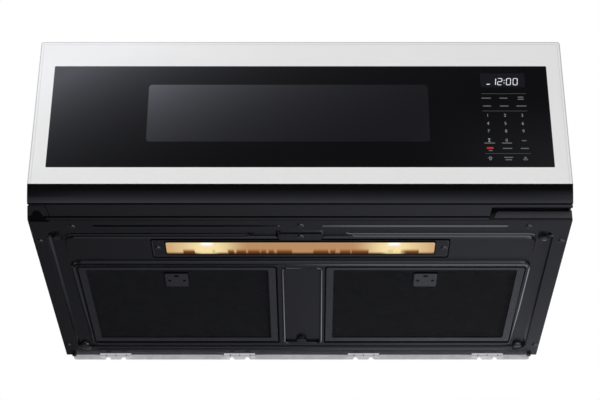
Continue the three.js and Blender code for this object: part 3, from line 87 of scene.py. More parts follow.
# ---- nodes


def put(socket, value):
    """Link an output to a socket, or set the socket's own value."""
    if isinstance(value, Value):
        value = value.socket
    if isinstance(value, bpy.types.NodeSocket):
        socket.id_data.links.new(value, socket)
    else:
        socket.default_value = value


def node(tree, kind, feeds=(), **settings):
    """New node with its settings, and then what its inputs are fed with, by name or number."""
    made = tree.nodes.new(kind)
    for key, value in settings.items():
        setattr(made, key, value)
    for key, value in dict(feeds).items():
        put(made.inputs[key], value)
    return made


def output(tree, kind, feeds=(), socket=0, **settings):
    """One output of a new node."""
    return Value(node(tree, kind, feeds, **settings).outputs[socket])


def math_method(operation, swapped=False):
    def method(self, *others):
        terms = (*others, self) if swapped else (self, *others)
        return output(self.tree, "ShaderNodeMath", enumerate(terms), operation=operation)
    return method


class Value:
    """Output of a node; arithmetic with it adds math nodes to its tree."""

    def __init__(self, socket):
        self.socket = socket
        self.tree = socket.id_data

    __add__ = math_method("ADD")
    __sub__ = math_method("SUBTRACT")
    __rsub__ = math_method("SUBTRACT", swapped=True)
    __mul__ = math_method("MULTIPLY")
    __truediv__ = math_method("DIVIDE")
    __mod__ = math_method("MODULO")
    __pow__ = math_method("POWER")
    __abs__ = math_method("ABSOLUTE")
    __floor__ = math_method("FLOOR")
    root = math_method("SQRT")
    exponent = math_method("EXPONENT")
    at_least = math_method("MAXIMUM")
    at_most = math_method("MINIMUM")

    def ramp(self, low, high, to_low=0.0, to_high=1.0, kind="LINEAR"):
        """From to_low where this is low to to_high where it is high, and level beyond."""
        feeds = {"Value": self, "From Min": low, "From Max": high, "To Min": to_low, "To Max": to_high}
        return output(self.tree, "ShaderNodeMapRange", feeds, interpolation_type=kind)

    def ease(self, *ends):
        """Ramp with a soft start and a soft end."""
        return self.ramp(*ends, kind="SMOOTHSTEP")


def values_of(sockets):
    return {socket.name: Value(socket) for socket in sockets}


def parts(whole, kind="XYZ"):
    """x, y and z of a vector, or the parts of a colour."""
    return [Value(socket) for socket in node(whole.tree, "ShaderNodeSeparate" + kind, {0: whole}).outputs]


def cross_fade(first, second, share):
    return first + (second - first) * share


def new_tree(owner):
    owner.use_nodes = True
    owner.node_tree.nodes.clear()
    return owner.node_tree


def new_material(name):
    """Empty material, and the object coordinates in it."""
    material = bpy.data.materials.new(name)
    return material, output(new_tree(material), "ShaderNodeTexCoord", socket="Object")


# ---- camera and stage

IMAGE_WIDTH = 600
FOCAL_PIXELS = 1649.3
SENSOR_WIDTH = 36.0
# The camera stands to the right, and its picture is shifted so that the front stays central
CAMERA_RIGHT = 14.0
CAMERA_BACK = 1957.3
CAMERA_BELOW = 1152.3
CAMERA_PITCH = 30.8245
FRONT_DISTANCE = 2271.0
CLIP_RANGE = (0.01, 100)

FLOOR_BELOW = 1370
# Half its side, in metres
FLOOR_HALF = 8
FLOOR_TONE = (0.86, 0.86, 0.86, 1)
FLOOR_ROUGHNESS = 0.7
WHITE = (1, 1, 1, 1)
DIFFUSE_SKY = 0.5

OBJECT_MIDDLE = (0, 0, 0.14)
# Name, place, target, side and power, in metres
SOFTBOXES = (
    ("left_key", (-1.7, -1.9, 1.3), OBJECT_MIDDLE, 1.2, 29),
    ("front_right_soft", (1.9, -2.6, -0.4), OBJECT_MIDDLE, 1.4, 16),
    ("right_rear_soft", (1.5, 2.4, -0.2), OBJECT_MIDDLE, 0.9, 24),
    ("top_soft", (0, 0.4, 3.2), OBJECT_MIDDLE, 2.4, 36),
    ("low_front_soft", (0, -2.7, -1.0), (0, 0.2, 0), 1.6, 6),
)
# Cool white of the cards seen in reflections, and the rays that miss them
CARD_TINT = (0.95, 0.97, 1.13, 1)
CARD_HIDDEN = ("camera", "diffuse", "shadow", "transmission", "volume_scatter")


def make_camera():
    data = bpy.data.cameras.new("camera")
    data.sensor_width = SENSOR_WIDTH
    data.lens = FOCAL_PIXELS / IMAGE_WIDTH * SENSOR_WIDTH
    data.clip_start, data.clip_end = CLIP_RANGE
    data.shift_x = -CAMERA_RIGHT / FRONT_DISTANCE * FOCAL_PIXELS / IMAGE_WIDTH
    camera = add_object("camera", data)
    camera.location = at(CAMERA_RIGHT, -CAMERA_BACK, -CAMERA_BELOW)
    camera.rotation_euler = (math.radians(90 + CAMERA_PITCH), 0, 0)
    bpy.context.scene.camera = camera


def make_world():
    """White to the camera and in reflections, softer as a light."""
    world = bpy.data.worlds.new("studio")
    bpy.context.scene.world = world
    tree = new_tree(world)
    rays = values_of(node(tree, "ShaderNodeLightPath").outputs)
    seen = rays["Is Camera Ray"].at_least(rays["Is Glossy Ray"]).at_least(rays["Is Transmission Ray"])
    back = output(tree, "ShaderNodeBackground", {0: WHITE, 1: seen.ramp(0.0, 1.0, DIFFUSE_SKY, 1.0)})
    node(tree, "ShaderNodeOutputWorld", {0: back})


def make_board(name, middle, halves, material, hidden=()):
    """Rectangle of the room from its middle and its half sizes in x, y and z."""
    x, y, z = halves
    rims = [(-x, -y, -z), (x, -y, -z), (x, y, z), (-x, y, z)]
    mesh = bpy.data.meshes.new(name)
    mesh.from_pydata([middle + Vector(rim) for rim in rims], [], [(0, 1, 2, 3)])
    mesh.materials.append(material)
    board = add_object(name, mesh)
    for ray in hidden:
        setattr(board, "visible_" + ray, False)


def make_floor():
    """Pale floor, clear from underneath, so that views from below show the object."""
    material = bpy.data.materials.new("pale_floor")
    tree = new_tree(material)
    pale = output(tree, "ShaderNodeBsdfPrincipled", {"Base Color": FLOOR_TONE, "Roughness": FLOOR_ROUGHNESS})
    clear = output(tree, "ShaderNodeBsdfTransparent")
    below = output(tree, "ShaderNodeNewGeometry", socket="Backfacing")
    mix = output(tree, "ShaderNodeMixShader", {0: below, 1: pale, 2: clear})
    node(tree, "ShaderNodeOutputMaterial", {0: mix})
    make_board("floor", Vector((0, 0, at(0, 0, -FLOOR_BELOW).z)), (FLOOR_HALF, FLOOR_HALF, 0), material)


def make_softbox(name, place, target, side, power):
    data = bpy.data.lights.new(name, "AREA")
    data.size = side
    data.energy = power
    lamp = add_object(name, data)
    lamp.location = place
    lamp.rotation_euler = (Vector(target) - lamp.location).to_track_quat("-Z", "Y").to_euler()
    lamp.visible_glossy = lamp.visible_camera = False


def above_light(x, _, z):
    """Bright at the upper left, falling away to the right and down, with a little more low right."""
    steps = (x + 0.65) * -3.9 + (z - (FLOOR_Z + 1.792)) * 6.6 + 0.5
    corner = x.ease(0.25, 0.85, 0.0, 0.2) * z.ease(FLOOR_Z + 1.72, FLOOR_Z + 1.45)
    return steps.at_most(0.72).exponent() + corner + 0.04


def behind_light(x, _, z):
    """Dark left to mid grey right, for the underside; above that a stronger change, for its ribs."""
    low = x.ease(-0.6, 0.35, 0.11, 0.27)
    high = x.ease(-0.03, 0.28, 0.0, 1.4)
    return cross_fade(low, high, z.ease(FLOOR_Z - 0.25, FLOOR_Z - 0.12))


def below_light(x, y, _):
    """Bright at both ends in front, for the slopes; dark left to bright right nearer, for lip and ribs."""
    far = x.ease(-1.1, -0.65) + x.ease(0.65, 1.3, 0.0, 1.8)
    near = x.ramp(-0.34, 0.55, 0.0, 2.1)
    below = x.ease(-0.06, 0.12, 0.0, 1.6)
    front = cross_fade(far, near, y.ease(-2.05, -1.85))
    return cross_fade(front, below, y.ease(-1.2, -0.9))


# Name, middle, half sizes, and brightness from the place in the room in metres
CARDS = (
    ("above_card", (0, -2200, 1700), (1500, 0, 750), above_light),
    ("behind_card", (0, 1000, -500), (2600, 0, 1280), behind_light),
    ("below_card", (0, -1250, -1300), (2600, 2150, 0), below_light),
)


def make_card(name, middle, halves, brightness):
    """Board seen only in reflections."""
    material, place = new_material(name)
    feeds = {"Color": CARD_TINT, "Strength": brightness(*parts(place))}
    node(place.tree, "ShaderNodeOutputMaterial", {0: output(place.tree, "ShaderNodeEmission", feeds)})
    make_board(name, at(*middle), [half * MM for half in halves], material, CARD_HIDDEN)


make_camera()
make_floor()
make_world()
for softbox in SOFTBOXES:
    make_softbox(*softbox)
for card in CARDS:
    make_card(*card)

# ---- shader groups

FLOAT = "NodeSocketFloat"
COLOUR = "NodeSocketColor"
VECTOR = "NodeSocketVector"
GEOMETRY = "NodeSocketGeometry"
# Middle of what a noise texture puts out, and its scales
NOISE_MIDDLE = 0.5
GLOSS_SCALE = 14.0
TONE_SCALE = 9.0
SPECKLE_SCALE = 1400.0
RELIEF_DEPTH = 0.0002


def new_group(name, inputs, outputs, kind="ShaderNodeTree"):
    """Empty node group from the kinds of its named inputs and outputs."""
    tree = bpy.data.node_groups.new(name, kind)
    for way, sockets in (("INPUT", inputs), ("OUTPUT", outputs)):
        for label, socket in sockets.items():
            tree.interface.new_socket(name=label, in_out=way, socket_type=socket)
    return tree, values_of(node(tree, "NodeGroupInput").outputs), node(tree, "NodeGroupOutput").inputs


def noise(place, scale, detail=1.0):
    feeds = {"Vector": place, "Scale": scale, "Detail": detail}
    return output(place.tree, "ShaderNodeTexNoise", feeds, "Fac")


def mix_colour(factor, a, b):
    """Colour a where the factor is 0, b where it is 1."""
    return output(factor.tree, "ShaderNodeMix", {"Factor": factor, 6: a, 7: b}, 2, data_type="RGBA")


def make_surface_grain():
    """Fine relief and uneven gloss of a painted, moulded or drawn surface."""
    inputs = {"Place": VECTOR, "Grain": FLOAT, "Roughness": FLOAT, "Spread": FLOAT}
    tree, given, out = new_group("surface_grain", inputs, {"Roughness": FLOAT, "Height": FLOAT})
    fine = noise(given["Place"], given["Grain"], 3.0)
    broad = noise(given["Place"], GLOSS_SCALE, 2.0)
    swing = (fine * 0.4 + broad * 0.6 - NOISE_MIDDLE) * given["Spread"]
    put(out["Roughness"], given["Roughness"] + swing * 2.0)
    put(out["Height"], fine)
    return tree


def make_tone_drift():
    """Colour that drifts a little over the surface, with a fine speckle."""
    inputs = {"Place": VECTOR, "Colour": COLOUR, "Drift": FLOAT, "Speckle": FLOAT}
    tree, given, out = new_group("tone_drift", inputs, {"Colour": COLOUR})
    drift = (noise(given["Place"], TONE_SCALE) - NOISE_MIDDLE) * given["Drift"]
    speckle = (noise(given["Place"], SPECKLE_SCALE) - NOISE_MIDDLE) * given["Speckle"]
    feeds = {0: given["Colour"], "Scale": drift + speckle + 1.0}
    put(out["Colour"], output(tree, "ShaderNodeVectorMath", feeds, operation="SCALE"))
    return tree


def make_round_panel():
    """1 inside a rectangle with round corners, 0 outside it."""
    numbers = ("Across", "Up", "Centre Across", "Centre Up", "Half Width", "Half Height", "Corner",
               "Softness")
    tree, given, out = new_group("round_panel", dict.fromkeys(numbers, FLOAT), {"Inside": FLOAT})

    def past(value, centre, half):
        """How far a place lies past the straight part of an edge."""
        return (abs(given[value] - given[centre]) - (given[half] - given["Corner"])).at_least(0.0)

    across = past("Across", "Centre Across", "Half Width")
    up = past("Up", "Centre Up", "Half Height")
    outside = (across * across + up * up).root() - given["Corner"]
    inside = 0.5 - outside / given["Softness"]
    inside.socket.node.use_clamp = True
    put(out["Inside"], inside)
    return tree


GRAIN = make_surface_grain()
DRIFT = make_tone_drift()
PANEL = make_round_panel()


def spaced(settings):
    """Socket names from keyword arguments, which have underscores between their words."""
    return {key.replace("_", " "): value for key, value in settings.items()}


def use_group(tree, group, **values):
    return values_of(node(tree, "ShaderNodeGroup", spaced(values), node_tree=group).outputs)


def skin_of(place, grain, roughness, spread):
    """Uneven roughness, and the height of the relief."""
    given = {"Place": place, "Grain": grain, "Roughness": roughness, "Spread": spread}
    return use_group(place.tree, GRAIN, **given).values()


def drifting(place, colour, drift=0.1, speckle=0.05):
    return use_group(place.tree, DRIFT, Place=place, Colour=colour, Drift=drift, Speckle=speckle)["Colour"]


def relief(height, strength, distance=RELIEF_DEPTH):
    feeds = {"Strength": strength, "Distance": distance, "Height": height}
    return output(height.tree, "ShaderNodeBump", feeds)


def principled(material, **settings):
    """Give a material its shader, and return it."""
    tree = material.node_tree
    node(tree, "ShaderNodeOutputMaterial", {0: output(tree, "ShaderNodeBsdfPrincipled", spaced(settings))})
    return material


def rgb(*levels):
    """Linear colour from 0 to 255 screen values."""
    def straight(part):
        return part / 12.92 if part <= 0.04045 else ((part + 0.055) / 1.055) ** 2.4
    return (*[straight(level / 255) for level in levels], 1.0)


# ---- materials

GLASS_IOR = 1.5
# Printed areas of the glass: left, right, low and high edge, and corner
FIELD = (-356.5, 356.5, 68.9, 241.9, 1.5)
WINDOW = (-218.0, 183.5, 111.8, 209.1, 5.0)
DISPLAY = (260.0, 323.7, 204.7, 229.1, 1.0)
PRINT_SOFTNESS = 0.35
# Polished rim of the glass, and the grey line painted as the shading of its bevelled edge: inset and corner
GLASS_RIM = (1.3, 3.0)
BEVEL_SHADE_OUTER = (4.0, 2.0)
BEVEL_SHADE_INNER = (4.9, 2.0)
RIM_SOFTNESS = 0.5
BELOW_RIM = 20

LENS_FRONT = 92.3
LENS_BACK = 127.9
LENS_HALF = 192.5
LAMP_X = 134
# Spans where painted shadows of the parts behind the lens fall on it, from x to x
WORKS_SHADOW_SPANS = ((-169, -153), (-128, -124), (-105, -96.7), (-93, -78.6), (-76, -59.6), (-57.8, -50.6),
         (-47, -39.7), (-35, -13.3), (18, 39.8), (42.8, 50), (55.8, 71.7), (73.2, 97.8), (125, 132.6),
         (144, 170))


def grained(name, colour, roughness, spread=0.08, grain=900.0, bump=0.08, drift=0.1, speckle=0.06,
            metallic=0.0, specular=0.5, stretch=None):
    """Opaque material with an uneven gloss, a drifting tone and a fine relief."""
    material, place = new_material(name)
    if stretch:
        place = output(place.tree, "ShaderNodeMapping", {"Vector": place, "Scale": stretch})
    rough, height = skin_of(place, grain, roughness, spread)
    return principled(material, Base_Color=drifting(place, colour, drift, speckle), Roughness=rough,
                      Metallic=metallic, Specular_IOR_Level=specular, Normal=relief(height, bump))


def zinc_sheet():
    """Hot dipped zinc: flat crystals of slightly different grey and gloss."""
    material, place = new_material("zinc_sheet")
    crystals = output(place.tree, "ShaderNodeTexVoronoi", {"Vector": place, "Scale": 110.0}, "Color")
    shade, gloss, _ = parts(crystals, "Color")
    rough, height = skin_of(place, 700.0, 0.42, 0.1)
    tone = mix_colour(shade, rgb(228, 228, 231), rgb(242, 242, 245))
    return principled(material, Base_Color=tone, Roughness=rough + gloss * 0.12, Metallic=0.05,
                      Normal=relief(height, 0.06))


def cooking_enamel():
    """Grey enamel with pale flecks."""
    material, place = new_material("cavity_enamel")
    fleck = noise(place, 900.0).ease(0.56, 0.62) * 0.5
    tone = mix_colour(fleck, rgb(150, 151, 152), rgb(205, 206, 207))
    rough, height = skin_of(place, 500.0, 0.3, 0.06)
    return principled(material, Base_Color=tone, Roughness=rough, Normal=relief(height, 0.08))


def clear_sheet():
    material, place = new_material("clear_glass")
    rough, _ = skin_of(place, 60.0, 0.03, 0.02)
    return principled(material, Base_Color=(0.86, 0.93, 0.91, 1), Roughness=rough, Transmission_Weight=1.0,
                      IOR=GLASS_IOR)


def glass_panel(x, z, box, softness=PRINT_SOFTNESS):
    """Mask of a printed area."""
    left, right, low, high, corner = box
    centre = at((left + right) / 2, 0, (low + high) / 2)
    return use_group(x.tree, PANEL, Across=x, Up=z, Centre_Across=centre.x, Centre_Up=centre.z,
                     Half_Width=(right - left) / 2 * MM, Half_Height=(high - low) / 2 * MM,
                     Corner=corner * MM, Softness=softness * MM)["Inside"]


def printed_glass():
    """White and black enamel printed behind one sheet of polished glass."""
    material, place = new_material("printed_glass")
    x, _, z = parts(place)
    left, right, _, _, low, high = millimetres("front_glass")

    def inset(by, corner):
        return glass_panel(x, z, (left + by, right - by, low - BELOW_RIM, high - by, corner), RIM_SOFTNESS)

    white = drifting(place, rgb(228, 228, 228), 0.03, 0.015)
    tone = mix_colour(inset(*GLASS_RIM), rgb(176, 178, 180), white)
    # Painted shading of the bevelled edge: a grey line
    bevel_shading = (inset(*BEVEL_SHADE_OUTER) - inset(*BEVEL_SHADE_INNER)) * 0.7
    tone = mix_colour(bevel_shading, tone, rgb(196, 197, 199))
    tone = mix_colour(glass_panel(x, z, FIELD), tone, drifting(place, rgb(11, 11, 12)))
    window = glass_panel(x, z, WINDOW)
    tone = mix_colour(window, tone, rgb(9, 9, 11))
    tone = mix_colour(glass_panel(x, z, DISPLAY), tone, rgb(24, 24, 31))
    rough, _ = skin_of(place, 40.0, 0.05, 0.02)
    return principled(material, Base_Color=tone, Roughness=rough, IOR=GLASS_IOR, Coat_Weight=window,
                      Coat_IOR=2.2, Coat_Roughness=0.05)


def slope_gloss():
    """Black gloss moulding: its coat weight grows from the top to the lower edge, a painted reflection that
    is dark at the top and lighter towards the bottom.
    """
    material, place = new_material("gloss_moulding")
    low, high = corners("door_bottom_trim")
    painted_sheen = parts(place)[2].ramp(low.z, high.z, 0.95, 0.0) ** 2.4
    return principled(material, Base_Color=drifting(place, rgb(8, 8, 9)), Roughness=0.25,
                      Specular_IOR_Level=0.01, Coat_Weight=painted_sheen, Coat_Roughness=0.06)


def lip_satin():
    """Satin moulding with a band of painted shade, black and without coat, along its lower edge."""
    material, place = new_material("satin_moulding")
    up = parts(place)[2] - FLOOR_Z
    # Painted shade: a black band low on the lip, where the coat is taken away
    painted_groove_shade = up.ease(0.0021, 0.0023) * up.ease(0.0041, 0.0043, 1.0, 0.0)
    tone = mix_colour(painted_groove_shade, drifting(place, rgb(10, 10, 11), 0.06, 0.04), rgb(2, 2, 2))
    rough, height = skin_of(place, 1500.0, 0.42, 0.06)
    return principled(material, Base_Color=tone, Roughness=rough, Specular_IOR_Level=0.02,
                      Coat_Weight=1.0 - painted_groove_shade, Coat_IOR=1.33, Coat_Roughness=0.4,
                      Normal=relief(height, 0.06))


def steps_along(value, spans, low, high):
    """1 where value, from low to high, lies in one of the spans."""
    steps = output(value.tree, "ShaderNodeValToRGB", {0: value.ramp(low, high)}, "Color")
    steps.socket.node.color_ramp.interpolation = "CONSTANT"
    stops = steps.socket.node.color_ramp.elements
    for stop, position in zip(stops, (0.0, 1.0)):
        stop.position, stop.color = position, (0, 0, 0, 1)
    for start, end in spans:
        for edge, level in ((start, 1.0), (end, 0.0)):
            stops.new((edge * MM - low) / (high - low)).color = (level, level, level, 1)
    return steps


def frosted_lens():
    """Lens lit from behind by two lamps: its emission paints their light, with painted shadows of the parts
    behind it dark along its rear edge.

    aside is metres from the middle of the lens, off metres from the middle of the nearer lamp,
    and back the share of the way from the front edge to the rear.
    """
    material, place = new_material("frosted_lens")
    x, y, _ = parts(place)
    low, high = corners("lamp_lens")
    aside = abs(x)
    off = abs(aside - LAMP_X * MM)
    back = y.ramp(at(0, LENS_FRONT, 0).y, at(0, LENS_BACK, 0).y)
    wobble = (noise(place, 300.0) - NOISE_MIDDLE) * 0.004
    reach = 1.0 - steps_along(x + wobble, WORKS_SHADOW_SPANS, low.x, high.x) * 0.5
    # Painted shadows of the parts behind the lens
    works_shadow = (back - reach).ease(0.0, 0.3).at_least(back.ease(0.76, 0.96, 0.0, 0.85))
    fade = 1.0 - off.ease(0.006, 0.02, 1.0, 0.0) * 0.75
    warm = mix_colour(aside.ease(0.15, 0.18), rgb(184, 139, 97), rgb(206, 168, 122))
    warm = mix_colour(off.ease(0.006, 0.062, 1.0, 0.0), warm, rgb(246, 224, 168))
    works_shadow_tone = mix_colour(back.ease(0.7, 0.92), rgb(132, 82, 38), rgb(92, 46, 14))
    tone = mix_colour(works_shadow * fade, warm, works_shadow_tone)
    # Painted shade along the rear edge, and painted light along the front edge
    tone = mix_colour(back.ease(0.93, 0.98, 0.0, 0.9), tone, rgb(44, 18, 10))
    tone = mix_colour(back.ease(0.02, 0.1, 0.45, 0.0), tone, rgb(226, 186, 132))
    hot = off.ease(0.004, 0.012, 1.0, 0.0) * back.ease(0.15, 0.42, 1.0, 0.0)
    tone = mix_colour(hot, tone, rgb(255, 255, 252))
    rough, height = skin_of(place, 420.0, 0.4, 0.1)
    return principled(material, Base_Color=rgb(6, 4, 3), Roughness=rough, Specular_IOR_Level=0.05,
                      Emission_Color=tone, Emission_Strength=1.0,
                      Normal=relief(height, 0.15, 2 * RELIEF_DEPTH))


def lit(name, colour, strength, drift=0.05, speckle=0.1):
    """Glowing material for a lamp, a lit segment, or ink seen through the glass, where the glow of the ink is
    painted light.
    """
    material, place = new_material(name)
    tone = drifting(place, colour, drift, speckle)
    return principled(material, Base_Color=tone, Emission_Color=tone, Roughness=0.3,
                      Emission_Strength=strength)


# Name, colour, roughness, its spread, grain and relief
STEEL_BLACK = grained("powder_coated_steel", rgb(13, 13, 15), 0.26, 0.03, 1300.0, 0.02, specular=0.42)
# Darker copy of the plate's steel for its ribs, side walls and dimple crowns: the darker colour is painted
# shade
RIB_SHADED_BLACK = grained("pressed_rib_painted_darker", rgb(4, 4, 5), 0.16, 0.03, 1300.0, 0.02, specular=0.9)
CASE_BLACK = grained("painted_case", rgb(28, 29, 31), 0.5, 0.08, 900.0, 0.16, specular=0.35)
SCREW_BLACK = grained("blackened_screw", rgb(16, 16, 18), 0.28, 0.08, 1500.0, 0.05, specular=0.7)
FILTER_BLACK = grained("filter_coating", rgb(17, 17, 19), 0.28, 0.1, 1000.0, 0.12, specular=1.0)
MESH_BLACK = grained("filter_ground", rgb(5, 5, 6), 0.6, 0.12, 1000.0, 0.1, specular=0.1)
STRAND_BLACK = grained("filter_strands", rgb(19, 19, 21), 0.27, 0.12, 1000.0, 0.1, specular=1.0)
# Black rubber of the lens gasket, also used as painted shade in gaps, slits, holes and the hinge notch
RUBBER_AND_SHADE_BLACK = grained("black_rubber_and_painted_shade", rgb(7, 7, 8), 0.9, 0.05, 1200.0, 0.15, specular=0.02)
# Lighter copy of the plate's steel: painted light on the pocket strip
STRIP_LIT_GREY = grained("pocket_steel_painted_lighter", rgb(46, 46, 50), 0.4, 0.08, 1300.0, 0.1, specular=0.5)
# Lighter grey painted as the highlight along the lamp cover's edge
EDGE_HIGHLIGHT_GREY = grained("painted_edge_highlight", rgb(62, 63, 67), 0.35, 0.1, 1500.0, 0.05, specular=0.4)
# Darker copy of the zinc: painted shade on the tongues' lower faces
SHADED_ZINC = grained("zinc_painted_darker", rgb(190, 190, 193), 0.5, 0.08, 700.0, 0.06, drift=0.06, specular=0.3)

LOOKS = {
    "white_glass": printed_glass(),
    "gloss_black": slope_gloss(),
    "satin_black": lip_satin(),
    "black_steel": STEEL_BLACK,
    "black_plastic": grained("moulded_black", rgb(26, 26, 28), 0.55, 0.1, 1100.0, 0.2, specular=0.4),
    "grey_plastic": grained("moulded_grey", rgb(176, 178, 180), 0.45, 0.1, 1100.0, 0.15),
    "galvanised": zinc_sheet(),
    "steel": grained("drawn_steel", rgb(196, 197, 199), 0.3, 0.12, 500.0, 0.1, metallic=1.0,
                     stretch=(1.0, 1.0, 0.08)),
    "enamel": cooking_enamel(),
    "aluminium": grained("rolled_aluminium", rgb(205, 206, 208), 0.28, 0.1, 420.0, 0.1, metallic=1.0,
                         stretch=(0.06, 1.0, 1.0)),
    "filter_black": FILTER_BLACK,
    "mica": grained("mica_sheet", rgb(196, 186, 160), 0.35, 0.15, 240.0, 0.2, drift=0.35, speckle=0.3),
    "board": grained("circuit_board", rgb(38, 110, 66), 0.4, 0.1, 300.0, 0.2, drift=0.3, speckle=0.25),
    "clear_glass": clear_sheet(),
    "frosted_lens": frosted_lens(),
    "warm_lamp": lit("lit_lamp", rgb(255, 246, 214), 2.0, 0.1, 0.05),
    "charcoal": grained("charcoal_grains", rgb(30, 30, 30), 0.8, 0.2, 260.0, 1.0, drift=0.2, speckle=0.8),
}
OWN_LOOKS = {"outer_case": CASE_BLACK, "left_filter_mesh": MESH_BLACK, "right_filter_mesh": MESH_BLACK}


def dress_frame():
    """Give each frame node its own finish, or else that of its slot."""
    for subpart in frame["record"]["subparts"]:
        name = subpart["node"]
        for holder in frame["nodes"][name].material_slots:
            holder.material = OWN_LOOKS.get(name) or LOOKS[subpart["material_slot"]]


dress_frame()

# ---- outlines and pieces


def new_piece(name, mesh, material, slot, body=CHASSIS):
    """Object at the origin that rides on a body."""
    mesh.materials.clear()
    mesh.materials.append(material)
    made = add_object(name, mesh)
    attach(made, body)


def finished(name, shape, *look):
    """Piece from a bmesh, its faces turned outwards."""
    bmesh.ops.recalc_face_normals(shape, faces=shape.faces)
    mesh = bpy.data.meshes.new(name)
    shape.to_mesh(mesh)
    shape.free()
    new_piece(name, mesh, *look)


def polar(cx, cy, radius, angle):
    """Point of a circle, its angle in degrees anticlockwise from the right."""
    turn = math.radians(angle)
    return cx + radius * math.cos(turn), cy + radius * math.sin(turn)


def bend(cx, cy, radius, start, end, steps=6):
    """Points of an arc in degrees."""
    return [polar(cx, cy, radius, start + (end - start) * i / steps) for i in range(steps + 1)]


def rectangle(x0, x1, y0, y1):
    return [(x0, y0), (x1, y0), (x1, y1), (x0, y1)]


def round_outline(x0, x1, y0, y1, corner, steps=5):
    """Points round a rectangle with round corners, anticlockwise from the right."""
    right, left, top, low = x1 - corner, x0 + corner, y1 - corner, y0 + corner
    points = []
    for cx, cy, start in ((right, top, 0), (left, top, 90), (left, low, 180), (right, low, 270)):
        points += bend(cx, cy, corner, start, start + 90, steps)
    return points


def level(outline, z):
    return [(x, y, z) for x, y in outline]


def mirrored(path, side):
    """A path of the right half, or of the left half where side is -1."""
    return [(side * x, y) for x, y in path]


def row_of(shape, points):
    return [shape.verts.new(at(*point)) for point in points]


def moved(shape, row, way):
    """Copy of a row, moved by millimetres."""
    return [shape.verts.new(vertex.co + Vector(way) * MM) for vertex in row]


def skin_over(shape, rows, closed=True):
    """Faces between rows of equally many points; closed rows run all the way round."""
    count = len(rows[0])
    for a, b in zip(rows, rows[1:]):
        for i in range(count if closed else count - 1):
            j = (i + 1) % count
            shape.faces.new((a[i], a[j], b[j], b[i]))


def cap(shape, rows):
    """Faces over the first and the last row."""
    shape.faces.new(rows[0])
    shape.faces.new(rows[-1][::-1])


def plates(name, flats, *look):
    """Piece of closed plates, each given by its outline in space and the way in which it is thick."""
    shape = bmesh.new()
    for points, depth in flats:
        front = row_of(shape, points)
        rows = [front, moved(shape, front, depth)]
        skin_over(shape, rows)
        cap(shape, rows)
    finished(name, shape, *look)


def band(name, outer, inner, z_low, z_high, *look):
    """Closed band between two rectangles with round corners."""
    shape = bmesh.new()
    outer, inner = round_outline(*outer), round_outline(*inner)
    rows = [row_of(shape, level(line, z))
            for line, z in ((outer, z_low), (inner, z_low), (inner, z_high), (outer, z_high))]
    skin_over(shape, rows + rows[:1])
    finished(name, shape, *look)


# ---- prints on the glass

# How far the face and the bed of the print stand out of the glass
INK = 0.04
INK_BED = 0.01
LINE_Z = (193.5, 163.6, 91.7)
LINE_X = 292.0
LINE_WIDTH = 64.0
LINE_HEIGHT = 0.7
KEY_COLUMNS = (267.0, 291.7, 316.3)
# Rows of number keys: height and digits
KEY_ROWS = ((156.2, "123"), (142.4, "456"), (129.5, "789"), (114.0, " 0 "))
DIGIT_SIZE = 7.2
DIGIT_THINNER = -0.06
DIGIT_DROP = 2.5
# Bars where the keys carry words: x, z, width
KEY_BARS = ((266.6, 185.8, 13.2), (291.2, 185.8, 11.4), (316.0, 187.6, 8.2), (316.0, 184.0, 8.6),
            (267.0, 172.2, 11.6), (291.6, 172.2, 12.4), (316.2, 172.2, 14.0), (267.4, 109.2, 15.0),
            (291.8, 109.2, 14.0), (316.2, 113.2, 6.4), (268.0, 96.8, 5.0), (292.0, 100.2, 13.0),
            (316.4, 100.2, 11.4), (292.6, 85.2, 12.6), (292.6, 81.4, 9.0))
BAR_HEIGHT = 1.7
STOP_BAR = (267.6, 101.0, 9.4, 2.4)

# Each lit segment of a clock digit, from its lower left corner, in shares of width and height
SEGMENTS = {
    "a": ((0, 1), (1, 1)), "b": ((1, 1), (1, 0.5)), "c": ((1, 0.5), (1, 0)), "d": ((1, 0), (0, 0)),
    "e": ((0, 0), (0, 0.5)), "f": ((0, 0.5), (0, 1)), "g": ((0, 0.5), (1, 0.5)),
}
LIT = {"0": "abcdef", "1": "bc", "2": "abged"}
CLOCK = (("1", 275.2), ("2", 284.2), ("0", 296.8), ("0", 306.4))
CLOCK_LOW = 209.0
CLOCK_TALL = 11.2
CLOCK_WIDE = 6.0
CLOCK_LINE = 0.95
CLOCK_LEAN = 0.09
SEGMENT_GAP = 0.18
COLON_X = 293.4
COLON_DOT = 1.3
HALF_DAY_BAR = (270.6, 210.0, 4.4, 1.2)

HOURGLASS_Z = 114.2
HOURGLASS_HALF = (1.9, 2.7)
BULB_Z = 83.4
BULB_FOOT_Z = 81.2
RAYS = (20, 60, 90, 120, 160)
FAN_Z = 83.0
BLADES = (90, 210, 330)


def print_marks(name, outlines, material):
    """Flat marks on the glass from their outlines, across and up."""
    flats = [([(x, -INK, z) for x, z in outline], (0, INK - INK_BED, 0)) for outline in outlines]
    plates(name, flats, material, "white_glass", DOOR)


def bar(x, z, width, height):
    return rectangle(x - width / 2, x + width / 2, z - height / 2, z + height / 2)


def stroke(start, end, width, gap=None):
    """Straight line; with a gap its ends are pointed and stay that share of its width short."""
    start, end = Vector(start), Vector(end)
    way = (end - start).normalized()
    side = Vector((-way.y, way.x)) * (width / 2)
    if gap is None:
        return [start + side, start - side, end - side, end + side]
    start, end, shoulder = start + way * (width * gap), end - way * (width * gap), way * (width / 2)
    return [start, start + shoulder - side, end - shoulder - side, end,
            end - shoulder + side, start + shoulder + side]


def arc(x, z, radius, width, start=0, end=360, steps=20):
    """Outlines of the steps of a curved line."""
    far = bend(x, z, radius + width / 2, start, end, steps)
    near = bend(x, z, radius - width / 2, start, end, steps)
    return [[far[i], far[i + 1], near[i + 1], near[i]] for i in range(steps)]


